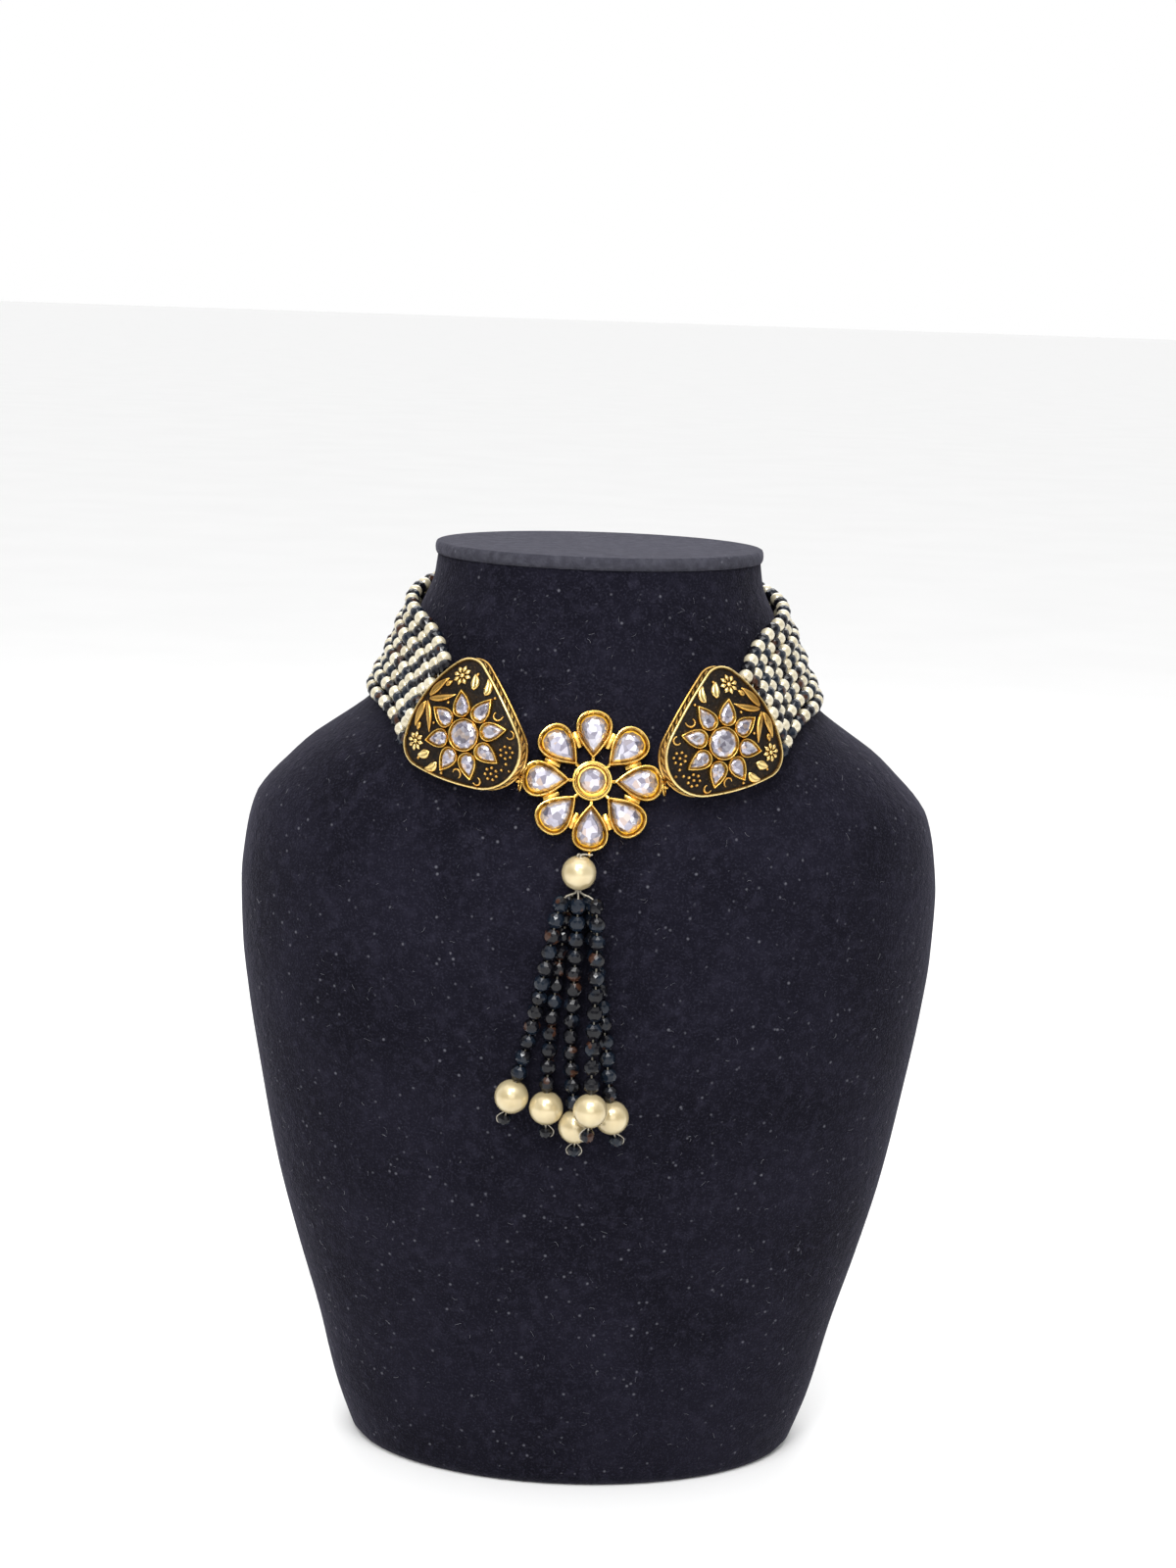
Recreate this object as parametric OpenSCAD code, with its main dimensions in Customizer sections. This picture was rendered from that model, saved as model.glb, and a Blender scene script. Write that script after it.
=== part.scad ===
// A kundan choker necklace laid round the neck of a velvet bust.
// Millimetres, +Z up. The origin is the centre of the bust's flat base, and the front faces -Y.
// Left and right are the viewer's. Everything but the tassel is made for the right and mirrored.

/* [Bust] */
// Height from the base to the underside of the neck disc
bust_h = 288; // [270:1:306]
// Width across the shoulders
shoulder_w = 220; // [206:1:234]
// Width of the neck at its top
neck_w = 100; // [94:1:106]
// Width of the foot
base_w = 143; // [125:1:165]
// Depth of the chest in front of the neck's axis
chest_d = 67; // [63:1:72]
// Depth of the back behind the neck's axis
back_d = 50; // [46:1:55]
// Thickness of the neck disc
disc_t = 4; // [3:0.5:8]
// Overhang of the disc round the neck
disc_lip = 0.8; // [0.2:0.1:3]

/* [Flower] */
// Height of the flower's centre below the top of the neck
flower_below = 59.6; // [54:0.2:66]
// Span across two opposite petals
flower_w = 41.5; // [38:0.5:45]
// Width of a petal's bezel
petal_w = 10.9; // [9.8:0.1:11.4]
// Length of a petal's bezel
petal_l = 14.4; // [13:0.1:15]
// Diameter of the middle bezel
hub_d = 11.8; // [10.4:0.1:12.6]
// Depth of the bezels
flower_t = 3.4; // [2.6:0.1:4.4]
// Thickness of the floor under the stones
flower_floor = 0.8; // [0.6:0.1:1.2]
// Width of a petal's stone
petal_stone_w = 7.3; // [6:0.1:8]
// Length of a petal's stone
petal_stone_l = 10.3; // [8.8:0.1:10.8]
// Diameter of the middle stone
hub_stone_d = 7.4; // [6:0.1:8.6]
// Turn of the flower about its centre, degrees clockwise
flower_turn = 0.5; // [0:0.5:6]

/* [Plaques] */
// Height of a plaque's centre above the flower's centre
plaque_rise = 12.9; // [12:0.1:13.2]
// Width of a plaque
plaque_w = 37.4; // [36:0.2:39]
// Height of a plaque from its long side to its apex
plaque_h = 37.4; // [36:0.2:39]
// Turn of a plaque's face to the side, degrees
plaque_yaw = 24; // [20:0.5:28]
// Lean of a plaque's face upwards, degrees
plaque_lean = 9; // [6:0.5:12]
// Depth of the rim wall
plaque_t = 4.8; // [4:0.1:6]
// Width of the rim
rim_w = 1; // [0.8:0.1:1.4]
// Height of the rim above the enamel's bed
rim_h = 0.9; // [0.7:0.1:1.4]
// Radius of the domed face
dome_r = 52; // [46:1:70]
// Turn of a plaque from apex up, degrees
plaque_turn = 123; // [120:1:126]
// Thickness of the enamel
enamel_t = 0.35; // [0.2:0.05:0.5]
// Height of the cast leaves and flowers above the enamel's bed
relief_h = 0.9; // [0.7:0.1:1.3]
// Diameter of the centre bezel
boss_d = 9.8; // [9:0.1:10.4]
// Width of the eight petal bezels
ray_w = 5.7; // [5:0.1:6]
// Length of the eight petal bezels
ray_l = 8.2; // [7.4:0.1:8.6]
// Height of the bezels above the enamel's bed
bezel_h = 1.6; // [1.3:0.1:2.2]
// Wall of the bezels
bezel_w = 0.9; // [0.7:0.05:1.1]

/* [Links] */
// Outer diameter of a link
link_d = 4.8; // [4.4:0.1:5.2]
// Wire of a link
link_wire = 0.35; // [0.3:0.05:0.4]
// Height of a plaque's lug above the flower's lug that it is linked to
link_rise = 2.2; // [2:0.1:2.4]
// Outer diameter of a lug
lug_d = 2; // [1.9:0.1:2.2]
// Diameter of a lug's hole
lug_hole_d = 1.2; // [1.1:0.05:1.3]
// Thickness of a lug
lug_t = 0.6; // [0.5:0.1:0.7]
// Distance by which a plaque's lug stands further out than the flower's lug
link_shift = -0.6; // [-0.7:0.1:0.2]
// Turn of the flower's side lugs below its middle, degrees
lug_droop = 10; // [6:1:14]

/* [Bead band] */
// Diameter of a band pearl
pearl_d = 4.4; // [4:0.1:4.6]
// Diameter of a band rondelle
rondelle_d = 4.5; // [4:0.1:4.7]
// Length of a band rondelle
rondelle_l = 4.1; // [3.4:0.1:4.6]
// Spacing of the strands where they leave a plaque
strand_pitch = 3.6; // [3.3:0.05:3.8]
// Diameter of the plain strands
plain_d = 2.6; // [2:0.1:2.8]
// Height of the band's top strand below the top of the neck, at its side
band_side_below = 15; // [12:0.5:18]
// Height of the band's top strand below the top of the neck, at the clasp
band_back_below = 5; // [4:0.5:7]
// Spacing of the strands at the side and at the clasp
band_pitch = 4.1; // [3.9:0.05:4.2]
// Width of the clasp
clasp_w = 14; // [10:0.5:20]
// Thickness of the clasp
clasp_t = 2.4; // [2:0.1:3]

/* [Tassel] */
// Diameter of the large pearls
drop_d = 10.2; // [9.4:0.1:10.4]
// Height of the upper large pearl's centre below the top of the neck
tassel_below = 85.4; // [85:0.1:86.5]
// Diameter of a tassel bead
bead_d = 4.8; // [4.2:0.1:4.9]
// Length of a tassel bead
bead_l = 4.7; // [4:0.1:5]
// Diameter of the beads under the drops
end_bead_d = 4.2; // [3.6:0.1:4.6]
// Bare thread between a drop and its end bead
end_thread = 1.4; // [0.8:0.1:2]

/* [Fits] */
// Gap between what lies on the bust and the bust
rest_gap = 0.3; // [0.2:0.05:0.5]
// Gap round a stone in its bezel
stone_gap = 0.1; // [0.05:0.05:0.2]
// Gap between two beads on a thread
bead_gap = 0.15; // [0.1:0.05:0.2]
// Diameter of the threads
thread_d = 0.5; // [0.4:0.05:0.6]
// Gap between a thread and the hole that it runs in
bore_gap = 0.35; // [0.3:0.05:0.4]

/* [Hidden] */
STRANDS = 8;
BEADED = [1, 8];
PETALS = 8;
SIDES = ["left", "right"];

// Sections of the bust from the base up, as shares: height, blend from the end's width to the
// shoulders' width, depth in front, depth behind.
SHOULDER = 0.64;
SECTIONS = [
    [0, 0, 0.67, 0.90],
    [0.06, 0.16, 0.71, 0.92],
    [0.15, 0.33, 0.76, 0.96],
    [0.23, 0.505, 0.815, 0.98],
    [0.32, 0.68, 0.88, 1],
    [0.42, 0.82, 0.935, 1],
    [0.51, 0.93, 0.985, 1],
    [0.575, 0.985, 0.995, 1],
    [SHOULDER, 1, 1, 1],
    [0.685, 0.98, 0.985, 1],
    [0.73, 0.93, 0.965, 1],
    [0.75, 0.866, 0.95, 1],
    [0.77, 0.774, 0.93, 1],
    [0.795, 0.649, 0.905, 1],
    [0.816, 0.505, 0.88, 0.995],
    [0.837, 0.365, 0.85, 0.99],
    [0.858, 0.264, 0.815, 0.98],
    [0.882, 0.205, 0.775, 0.96],
    [0.905, 0.16, 0.74, 0.94],
    [0.925, 0.12, 0.71, 0.92],
    [0.945, 0.08, 0.685, 0.9],
    [0.976, 0.017, 0.65, 0.87],
    [1, 0, 0.635, 0.85]
];
BUST_SIDES = 32;

function unit(v) = v / norm(v);
function blend(a, b, t) = a + (b - a) * t;
function column(k) = [for (row = SECTIONS) [row[0], row[k]]];

// Half width and depths of the bust at a height
function half_w(z) = let (s = z / bust_h, end_w = s < SHOULDER ? base_w : neck_w)
    blend(end_w, shoulder_w, lookup(s, column(1))) / 2;
function front_d(z) = chest_d * lookup(z / bust_h, column(2));
function rear_d(z) = back_d * lookup(z / bust_h, column(3));

// Point on the bust at an angle round the neck, 0 in front and 90 at the right, and a height
function bust_at(a, z) = [
    half_w(z) * sin(a),
    -cos(a) * (cos(a) > 0 ? front_d(z) : rear_d(z)),
    z
];
function angle_of(p) = atan2(p.x / half_w(p.z), -p.y / (p.y < 0 ? front_d(p.z) : rear_d(p.z)));
function outward(a, z) = unit(cross(bust_at(a + 1, z) - bust_at(a - 1, z), bust_at(a, z + 3) - bust_at(a, z - 3)));

// Distance of a point from the bust's surface
function off_bust(p) =
    let (d = p.y < 0 ? front_d(p.z) : rear_d(p.z))
    let (e = norm([p.x / half_w(p.z), p.y / d]))
    let (n = outward(angle_of(p), p.z))
    norm([p.x, p.y]) * (1 - 1 / e) * norm([n.x, n.y]);

// Frame with its Z along the bust's normal and its Y up, lifted off the surface
function seat(a, z, lift = 0) =
    let (n = outward(a, z), x = unit(cross([0, 0, 1], n)), y = cross(n, x))
    framed(x, y, n, bust_at(a, z) + lift * n);
function framed(x, y, z, p) = [
    [x.x, y.x, z.x, p.x],
    [x.y, y.y, z.y, p.y],
    [x.z, y.z, z.z, p.z],
    [0, 0, 0, 1]
];
function placed(m, p) = let (q = m * [p.x, p.y, p.z, 1]) [q.x, q.y, q.z];
function turned(p, a) = [p.x * cos(a) - p.y * sin(a), p.x * sin(a) + p.y * cos(a), p.z];

// Lift at which every point of a back clears the bust. Each try adds what the last one was short of.
LIFT_TRIES = 4;
function lift_to_clear(back, a, z, lift = 0, tries = LIFT_TRIES) =
    let (m = seat(a, z, lift), short = rest_gap - min([for (p = back) off_bust(placed(m, p))]))
    tries == 0 ? lift : lift_to_clear(back, a, z, lift + short, tries - 1);

// Closed solid through rings of equally many points, each counterclockwise seen from the last ring
module loft(rings) {
    n = len(rings[0]);
    last = len(rings) - 1;
    points = [for (ring = rings) for (p = ring) p];
    walls = [for (i = [0:last - 1]) for (j = [0:n - 1])
        let (a = i * n + j, b = i * n + (j + 1) % n)
        each [[a, a + n, b + n], [a, b + n, b]]];
    bottom = [for (j = [0:n - 1]) j];
    top = [for (j = [n - 1:-1:0]) last * n + j];
    polyhedron(points, concat([bottom], walls, [top]));
}

// Pear outline with its tip up, as wide and long as given and centred on its length
PEAR_PEAK = 0.77;
function pear(w, l, n = 24) = [for (i = [0:n - 1]) let (t = i * 360 / n)
    [-w / 2 * sin(t) * abs(sin(t / 2)) / PEAR_PEAK, l / 2 * cos(t)]];

// Cut stone over an outline: a girdle, a ring of facets and a flat table
GIRDLE = 0.45;
TABLE = 0.6;
module cut_stone(outline, h) {
    girdle = h * GIRDLE;
    loft([
        for (row = [[0, 1], [girdle, 1], [h, TABLE]])
            [for (p = outline) [p.x * row[1], p.y * row[1], row[0]]]
    ]);
}
STONE_SIDES = 12;
function round_outline(d) = [for (i = [0:STONE_SIDES - 1]) let (t = i * 360 / STONE_SIDES)
    [d / 2 * cos(t), d / 2 * sin(t)]];

// Bust

module bust_body() {
    color("#1b1d2b") loft([
        for (row = SECTIONS)
            [for (j = [0:BUST_SIDES - 1]) bust_at(j * 360 / BUST_SIDES, row[0] * bust_h)]
    ]);
}

// Rows of the disc's rounded edge: share of the thickness, share of the lip
DISC_EDGE = [[0, 0.4], [0.25, 1], [0.75, 1], [1, 0.3]];
module neck_disc() {
    color("#1b1d2b") loft([
        for (row = DISC_EDGE) let (grow = disc_lip * row[1] + 0.2)
            [for (j = [0:BUST_SIDES - 1]) let (a = j * 360 / BUST_SIDES, p = bust_at(a, bust_h))
                [p.x + grow * sin(a), p.y - grow * cos(a), bust_h + disc_t * row[0]]]
    ]);
}

// Flower

flower_z = bust_h - flower_below;
petal_mid = flower_w / 2 - petal_l / 2;
petal_step = 360 / PETALS;
web_w = 1.6;
bridge_w = 1.4;
lug_rise = lug_d / 2 + 0.05;
side_lug_rise = flower_t * 0.64;
lug_reach = lug_hole_d / 2 + 0.05;
// A lug stands on the round end of a petal, turned about it
petal_end = flower_w / 2 - petal_w / 2;

flower_back = concat(
    [[0, 0, 0]],
    [for (k = [0:PETALS - 1], r = [0.25, 0.5]) let (a = k * petal_step) [sin(a), cos(a), 0] * flower_w * r],
    [for (k = [0:PETALS - 1]) let (a = (k + 0.35) * petal_step) [sin(a), cos(a), 0] * flower_w * 0.47]
);
flower_lift = lift_to_clear(flower_back, 0, flower_z);
flower_frame = seat(0, flower_z, flower_lift);

module each_petal() {
    for (k = [0:PETALS - 1]) rotate(-k * petal_step) translate([0, petal_mid]) rotate(180) children();
}

module flower_outline() {
    each_petal() polygon(pear(petal_w, petal_l));
    circle(d = hub_d, $fn = 48);
    // Solder between neighbouring petals, and from their tips to the middle
    for (k = [0:PETALS - 1]) {
        rotate((k + 0.5) * petal_step) translate([-web_w / 2, petal_mid - petal_l * 0.22])
            square([web_w, petal_l * 0.34]);
        rotate(k * petal_step) translate([-bridge_w / 2, 0])
            square([bridge_w, petal_mid - petal_l * 0.4]);
    }
}

module lug() {
    linear_extrude(lug_t, center = true) difference() {
        circle(d = lug_d, $fn = 32);
        circle(d = lug_hole_d, $fn = 24);
    }
}

module flower_setting() {
    seat_w = petal_stone_w + 2 * stone_gap;
    seat_l = petal_stone_l + 2 * stone_gap;
    color("#c9962e") multmatrix(flower_frame) rotate(-flower_turn) {
        linear_extrude(flower_floor) flower_outline();
        linear_extrude(flower_t) difference() {
            flower_outline();
            each_petal() polygon(pear(seat_w, seat_l));
            circle(d = hub_stone_d + 2 * stone_gap, $fn = 48);
        }
        for (q = LUGS) rotate(q[0]) translate([0, petal_end, q[2]]) rotate(q[1])
            translate([0, petal_w / 2 + lug_reach, 0]) rotate([90, 0, 90]) lug();
    }
}
// Lugs of the flower: the petal that each stands on, in degrees, its turn about the petal's end and
// its height above the floor
LUGS = [[-90, -lug_droop, side_lug_rise], [90, lug_droop, side_lug_rise], [180, 0, lug_rise]];
function flower_lug_at(q) =
    let (p = turned([0, petal_w / 2 + lug_reach, 0], q[1]))
    placed(flower_frame, turned([p.x, p.y + petal_end, q[2]], q[0] - flower_turn));

stone_h = flower_t - flower_floor;
module flower_center_stone() {
    color("#d8d8e6") multmatrix(flower_frame)
        translate([0, 0, flower_floor + stone_gap]) cut_stone(round_outline(hub_stone_d), stone_h);
}

module flower_petal_stone(k) {
    color("#d8d8e6") multmatrix(flower_frame) rotate(-flower_turn - (k - 1) * petal_step)
        translate([0, petal_mid, flower_floor + stone_gap]) rotate(180)
            cut_stone(pear(petal_stone_w, petal_stone_l, STONE_SIDES), stone_h);
}

// Plaques: each one's own origin is the middle of its centre stone, apex up

apex_r = plaque_w * 0.32;
corner_r = plaque_w * 0.185;
side_bow = 8;
base_bow = 20;
base_sag = plaque_h * 0.04;
plaque_top = plaque_h * 0.494;
plaque_low = plaque_h - plaque_top;
corner_x = plaque_w / 2 - corner_r;
corner_y = -plaque_low + base_sag + corner_r;
apex_y = plaque_top - apex_r;
// Direction, from the centre of a corner, of the side that joins it to the apex
side_dir = atan2(corner_y - apex_y, corner_x);
side_normal = side_dir + acos((apex_r - corner_r) / norm([corner_x, apex_y - corner_y]));

ARC_STEPS = 5;
SIDE_STEPS = 5;
function arc(c, r, a0, a1) = [for (i = [0:ARC_STEPS]) let (a = blend(a0, a1, i / ARC_STEPS))
    [c.x + r * cos(a), c.y + r * sin(a)]];
// Bowed side from one arc's end to the next one's start, which leave at the angles given
function bowed(p, ap, q, aq) =
    let (h = norm(q - p) / 3)
    let (a = p + h * [-sin(ap), cos(ap)], b = q - h * [-sin(aq), cos(aq)])
    [for (i = [1:SIDE_STEPS - 1]) let (t = i / SIDE_STEPS, u = 1 - t)
        u * u * u * p + 3 * u * u * t * a + 3 * u * t * t * b + t * t * t * q];
function plaque_outline(inset = 0) =
    let (n = side_normal, m = 180 - side_normal)
    let (top = arc([0, apex_y], apex_r - inset, n + side_bow, m - side_bow))
    let (left = arc([-corner_x, corner_y], corner_r - inset, m + side_bow, 270 - base_bow))
    let (right = arc([corner_x, corner_y], corner_r - inset, 270 + base_bow, 360 + n - side_bow))
    concat(
        top,
        bowed(top[ARC_STEPS], m - side_bow, left[0], m + side_bow),
        left,
        bowed(left[ARC_STEPS], 270 - base_bow, right[0], 270 + base_bow),
        right,
        bowed(right[ARC_STEPS], 360 + n - side_bow, top[0], 360 + n + side_bow)
    );

// Height of a dome that lies a given way above the enamel's bed
function dome_z(p, above = 0) = sqrt(pow(dome_r + above, 2) - p.x * p.x - p.y * p.y) - dome_r;
module dome(above = 0) {
    translate([0, 0, -dome_r]) sphere(r = dome_r + above, $fn = 180);
}

wall_top = rim_h;
wall_back = wall_top - plaque_t;
plate_t = 1.4;
plaque_back = [for (p = plaque_outline()) [p.x, p.y, dome_z(p, wall_back)]];

// The plaque's lug stands on the apex, turned round it until it is far enough above the flower's lug.
// Then the plaque is moved sideways to where the link holds it, and forward until its back clears
// the bust.
SEARCH_STEPS = 12;
plaque_z = flower_z + plaque_rise;
plaque_n = [cos(plaque_lean) * sin(plaque_yaw), -cos(plaque_lean) * cos(plaque_yaw), sin(plaque_lean)];
plaque_x = unit(cross([0, 0, 1], plaque_n));
plaque_y = cross(plaque_n, plaque_x);
flower_lug = flower_lug_at(LUGS[0]);
function plaque_lug(t) =
    let (c = [cos(t), sin(t)], p = [0, apex_y] + apex_r * c)
    [p.x + lug_reach * c.x, p.y + lug_reach * c.y, dome_z(p, wall_back) + lug_rise];
function plaque_at(x, y) = framed(plaque_x, plaque_y, plaque_n, [x, y, plaque_z]);
function plaque_lug_at(m, t) = placed(m, turned(plaque_lug(t), plaque_turn));
function lug_turn(low, high, steps = SEARCH_STEPS) =
    let (mid = (low + high) / 2)
    steps == 0 ? mid
    : plaque_lug_at(plaque_at(0, 0), mid).z - flower_lug.z < link_rise ? lug_turn(low, mid, steps - 1)
    : lug_turn(mid, high, steps - 1);
plaque_lug_turn = lug_turn(50, 130);
plaque_across = flower_lug.x + link_shift - plaque_lug_at(plaque_at(0, 0), plaque_lug_turn).x;
function plaque_forward(y, tries) =
    let (m = plaque_at(plaque_across, y))
    let (short = rest_gap - min([for (p = plaque_back) off_bust(placed(m, turned(p, plaque_turn)))]))
    tries == 0 ? y : plaque_forward(y - short, tries - 1);
plaque_frame = plaque_at(plaque_across, plaque_forward(-chest_d, SEARCH_STEPS));
plaque_hole = plaque_lug_at(plaque_frame, plaque_lug_turn);

// Outlines of the cast ornament. Places are shares of the plaque's half width and half height.
function on_plate(u, v) = [u * plaque_w / 2, v * plaque_h / 2];
DAISY = [0.65, -0.675];
DAISY_R = 2.9;
// Leaves: place of the root, direction in degrees, length, width, bend in degrees
LEAVES = [
    [0.02, -0.91, 58, 9.6, 1.7, -12],
    [0.05, -0.92, 2, 8.2, 2.1, 10],
    [0.61, -0.35, -25, 4.8, 2.3, -14],
    [0.66, -0.15, 10, 5, 2.1, -42],
    [0.36, -0.79, 20, 2.6, 1.3, 0]
];
// Scrolls: centre, radius, first angle, sweep
SCROLLS = [[0.57, 0.24, 1.5, 60, 230], [0.45, 0.58, 1.3, -30, 230]];
DOTS = [[0, 0.9], [0.06, 0.8], [0.2, -0.56], [0.47, -0.47], [0.83, -0.47], [0.74, 0.02]];
DOT_R = 0.5;
// Cluster of dots near the apex: its place, the radius of its ring and how many dots are in it
CLUSTER = [0.21, 0.7];
CLUSTER_R = 1.75;
CLUSTER_DOTS = 7;
scroll_w = 0.7;

// A leaf grows from its root and bends as it goes
module leaf(l, w, bend, grow) {
    steps = 4;
    spine = [for (i = [0:steps]) let (t = i / steps, a = bend * t) [l * t * cos(a), l * t * sin(a)]];
    across = [for (i = [0:steps])
        let (t = i / steps, a = bend * t + atan(bend * t * PI / 180))
        (w / 2 * sin(180 * pow(t, 0.8)) + 0.12 + grow) * [-sin(a), cos(a)]];
    polygon(concat(
        [for (i = [0:steps]) spine[i] - across[i]],
        [for (i = [steps:-1:0]) spine[i] + across[i]]
    ));
}

module daisy(r, grow) {
    circle(r = r * 0.24 + grow, $fn = 16);
    for (k = [0:7]) rotate((k + 0.5) * 45) translate([r * 0.66, 0])
        polygon([for (p = pear(r * 0.42 + 2 * grow, r * 0.68 + 2 * grow, 10)) [-p.y, p.x]]);
}

module scroll(r, a0, sweep, grow) {
    steps = 8;
    w = scroll_w / 2 + grow;
    polygon(concat(
        [for (i = [0:steps]) let (a = a0 + sweep * i / steps) (r + w) * [cos(a), sin(a)]],
        [for (i = [steps:-1:0]) let (a = a0 + sweep * i / steps) (r - w) * [cos(a), sin(a)]]
    ));
}

module half_relief(grow) {
    translate(on_plate(DAISY.x, DAISY.y)) daisy(DAISY_R, grow);
    for (q = LEAVES) translate(on_plate(q[0], q[1])) rotate(q[2]) leaf(q[3], q[4], q[5], grow);
    for (s = SCROLLS) translate(on_plate(s[0], s[1])) scroll(s[2], s[3], s[4], grow);
    for (p = DOTS) translate(on_plate(p[0], p[1])) circle(r = DOT_R + grow, $fn = 12);
    translate(on_plate(CLUSTER.x, CLUSTER.y)) {
        circle(r = DOT_R + grow, $fn = 12);
        for (k = [0:CLUSTER_DOTS - 1]) rotate(k * 360 / CLUSTER_DOTS) translate([CLUSTER_R, 0])
            circle(r = DOT_R + grow, $fn = 12);
    }
}

module relief(grow = 0) {
    half_relief(grow);
    mirror([1, 0]) half_relief(grow);
}

ray_mid = boss_d / 2 + 0.2 + ray_l / 2;
boss_stone_d = boss_d - 2 * bezel_w - 2 * stone_gap;
ray_stone_w = ray_w - 2 * bezel_w - 2 * stone_gap;
ray_stone_l = ray_l - 3 * bezel_w - 2 * stone_gap;
ray_stone_shift = -0.35 * bezel_w;

module each_ray() {
    for (k = [0:7]) rotate(k * 45) translate([0, ray_mid]) children();
}

module bezels(grow = 0) {
    circle(d = boss_d + 2 * grow, $fn = 48);
    each_ray() polygon(pear(ray_w + 2 * grow, ray_l + 2 * grow));
    for (k = [0:7]) rotate(k * 45) translate([-0.5, 0]) square([1, boss_d / 2 + 1]);
}

module bezel_seats() {
    circle(d = boss_stone_d + 2 * stone_gap, $fn = 48);
    each_ray() translate([0, ray_stone_shift])
        polygon(pear(ray_stone_w + 2 * stone_gap, ray_stone_l + 2 * stone_gap));
}

module in_plaque() {
    multmatrix(plaque_frame) rotate(plaque_turn) children();
}

deep = plaque_t * 3;
bezel_floor = 0.3;
module plaque() {
    color("#a9802f") in_plaque() {
        // Rim wall
        intersection() {
            difference() {
                dome(wall_top);
                dome(wall_back);
            }
            translate([0, 0, -deep]) linear_extrude(2 * deep) difference() {
                polygon(plaque_outline());
                polygon(plaque_outline(rim_w));
            }
        }
        // Bed of the enamel
        intersection() {
            difference() {
                dome();
                dome(-plate_t);
            }
            translate([0, 0, -deep]) linear_extrude(2 * deep) polygon(plaque_outline(rim_w / 2));
        }
        // Cast leaves, daisies and scrolls
        intersection() {
            difference() {
                dome(relief_h);
                dome(-plate_t / 2);
            }
            translate([0, 0, -deep]) linear_extrude(2 * deep) intersection() {
                relief();
                polygon(plaque_outline(rim_w / 2));
            }
        }
        // Bezels
        intersection() {
            difference() {
                dome(bezel_h);
                dome(-plate_t / 2);
            }
            translate([0, 0, -deep]) linear_extrude(2 * deep) difference() {
                bezels();
                bezel_seats();
            }
        }
        translate(plaque_lug(plaque_lug_turn)) lug();
    }
}

module enamel() {
    color("#2a1c18") in_plaque() intersection() {
        difference() {
            dome(enamel_t);
            dome(0);
        }
        translate([0, 0, -deep]) linear_extrude(2 * deep) difference() {
            polygon(plaque_outline(rim_w + stone_gap));
            relief(stone_gap);
            bezels(stone_gap);
        }
    }
}

plaque_stone_h = bezel_h + 0.2;
module plaque_center_stone() {
    color("#cfcfe0") in_plaque()
        translate([0, 0, stone_gap]) cut_stone(round_outline(boss_stone_d), plaque_stone_h);
}

module plaque_petal_stones() {
    tilt = atan(ray_mid / dome_r);
    color("#cfcfe0") in_plaque() for (k = [0:7]) rotate(k * 45)
        translate([0, 0, -dome_r]) rotate([-tilt, 0, 0]) translate([0, ray_stone_shift, dome_r + stone_gap])
            cut_stone(pear(ray_stone_w - stone_gap, ray_stone_l - stone_gap, STONE_SIDES), plaque_stone_h);
}

// Links

// A link rises through the flower's upright lug and bends forward through the plaque's flat one. It
// leans over the flower, so that its inner half clears the petal.
LINK_LEAN = 17;
module link() {
    r = (link_d - link_wire) / 2;
    span = norm(plaque_hole - flower_lug);
    along = (plaque_hole - flower_lug) / span;
    side = unit(cross(along, outward(-LINK_LEAN, flower_z)));
    out = cross(side, along);
    middle = (plaque_hole + flower_lug) / 2 + sqrt(r * r - span * span / 4) * out;
    color("#d9b25a") multmatrix(framed(along, out, side, middle))
        rotate_extrude($fn = 48) translate([r, 0]) circle(d = link_wire, $fn = 16);
}

// Routes: a fine line of points, the length run at each, and the point at a given length

function run(p) = [for (i = 0, s = 0; i < len(p); s = s + (i + 1 < len(p) ? norm(p[i + 1] - p[i]) : 0), i = i + 1) s];
function at_length(p, c, s) =
    let (f = lookup(s, [for (i = [0:len(p) - 1]) [c[i], i]]), i = min(floor(f), len(p) - 2))
    p[i] + (p[i + 1] - p[i]) * (f - i);
function heading(p, c, s) = unit(at_length(p, c, s + 0.8) - at_length(p, c, s - 0.8));
function facing(p, t, up) = let (x = unit(cross(up, t))) framed(x, cross(t, x), t, p);

module on_route(p, c, s, up) {
    multmatrix(facing(at_length(p, c, s), heading(p, c, s), up)) children();
}

// Round tube along part of a route
module tube(p, c, s0, s1, d, sides, step, up) {
    n = ceil((s1 - s0) / step);
    loft([
        for (i = [0:n])
            let (s = blend(s0, s1, i / n), m = facing(at_length(p, c, s), heading(p, c, s), up))
            [for (j = [0:sides - 1]) let (a = j * 360 / sides) placed(m, [d / 2 * cos(a), d / 2 * sin(a), 0])]
    ]);
}

// Beads

bore_r = thread_d / 2 + bore_gap;
FACETS = 8;
// Half of a rondelle's outline: share of its radius, share of its length from the middle
RONDELLE = [[0.5, -0.5], [1, -0.16], [1, 0.16], [0.5, 0.5]];
// A rondelle is what its outline cuts out from each side
module rondelle(d, l) {
    flat_r = d / 2 * cos(180 / FACETS);
    half = [for (row = RONDELLE) [flat_r * row[0], l * row[1]]];
    outline = concat(half, [for (i = [len(half) - 1:-1:0]) [-half[i].x, half[i].y]]);
    difference() {
        intersection_for (k = [0:FACETS / 2 - 1]) rotate([90, 0, k * 360 / FACETS])
            linear_extrude(2 * d, center = true) polygon(outline);
        cylinder(r = bore_r, h = 2 * l, center = true, $fn = 20);
    }
}
module pearl(d, bore) {
    difference() {
        sphere(d = d, $fn = 40);
        cylinder(r = bore, h = 2 * d, center = true, $fn = 20);
    }
}

// Bead band

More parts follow.
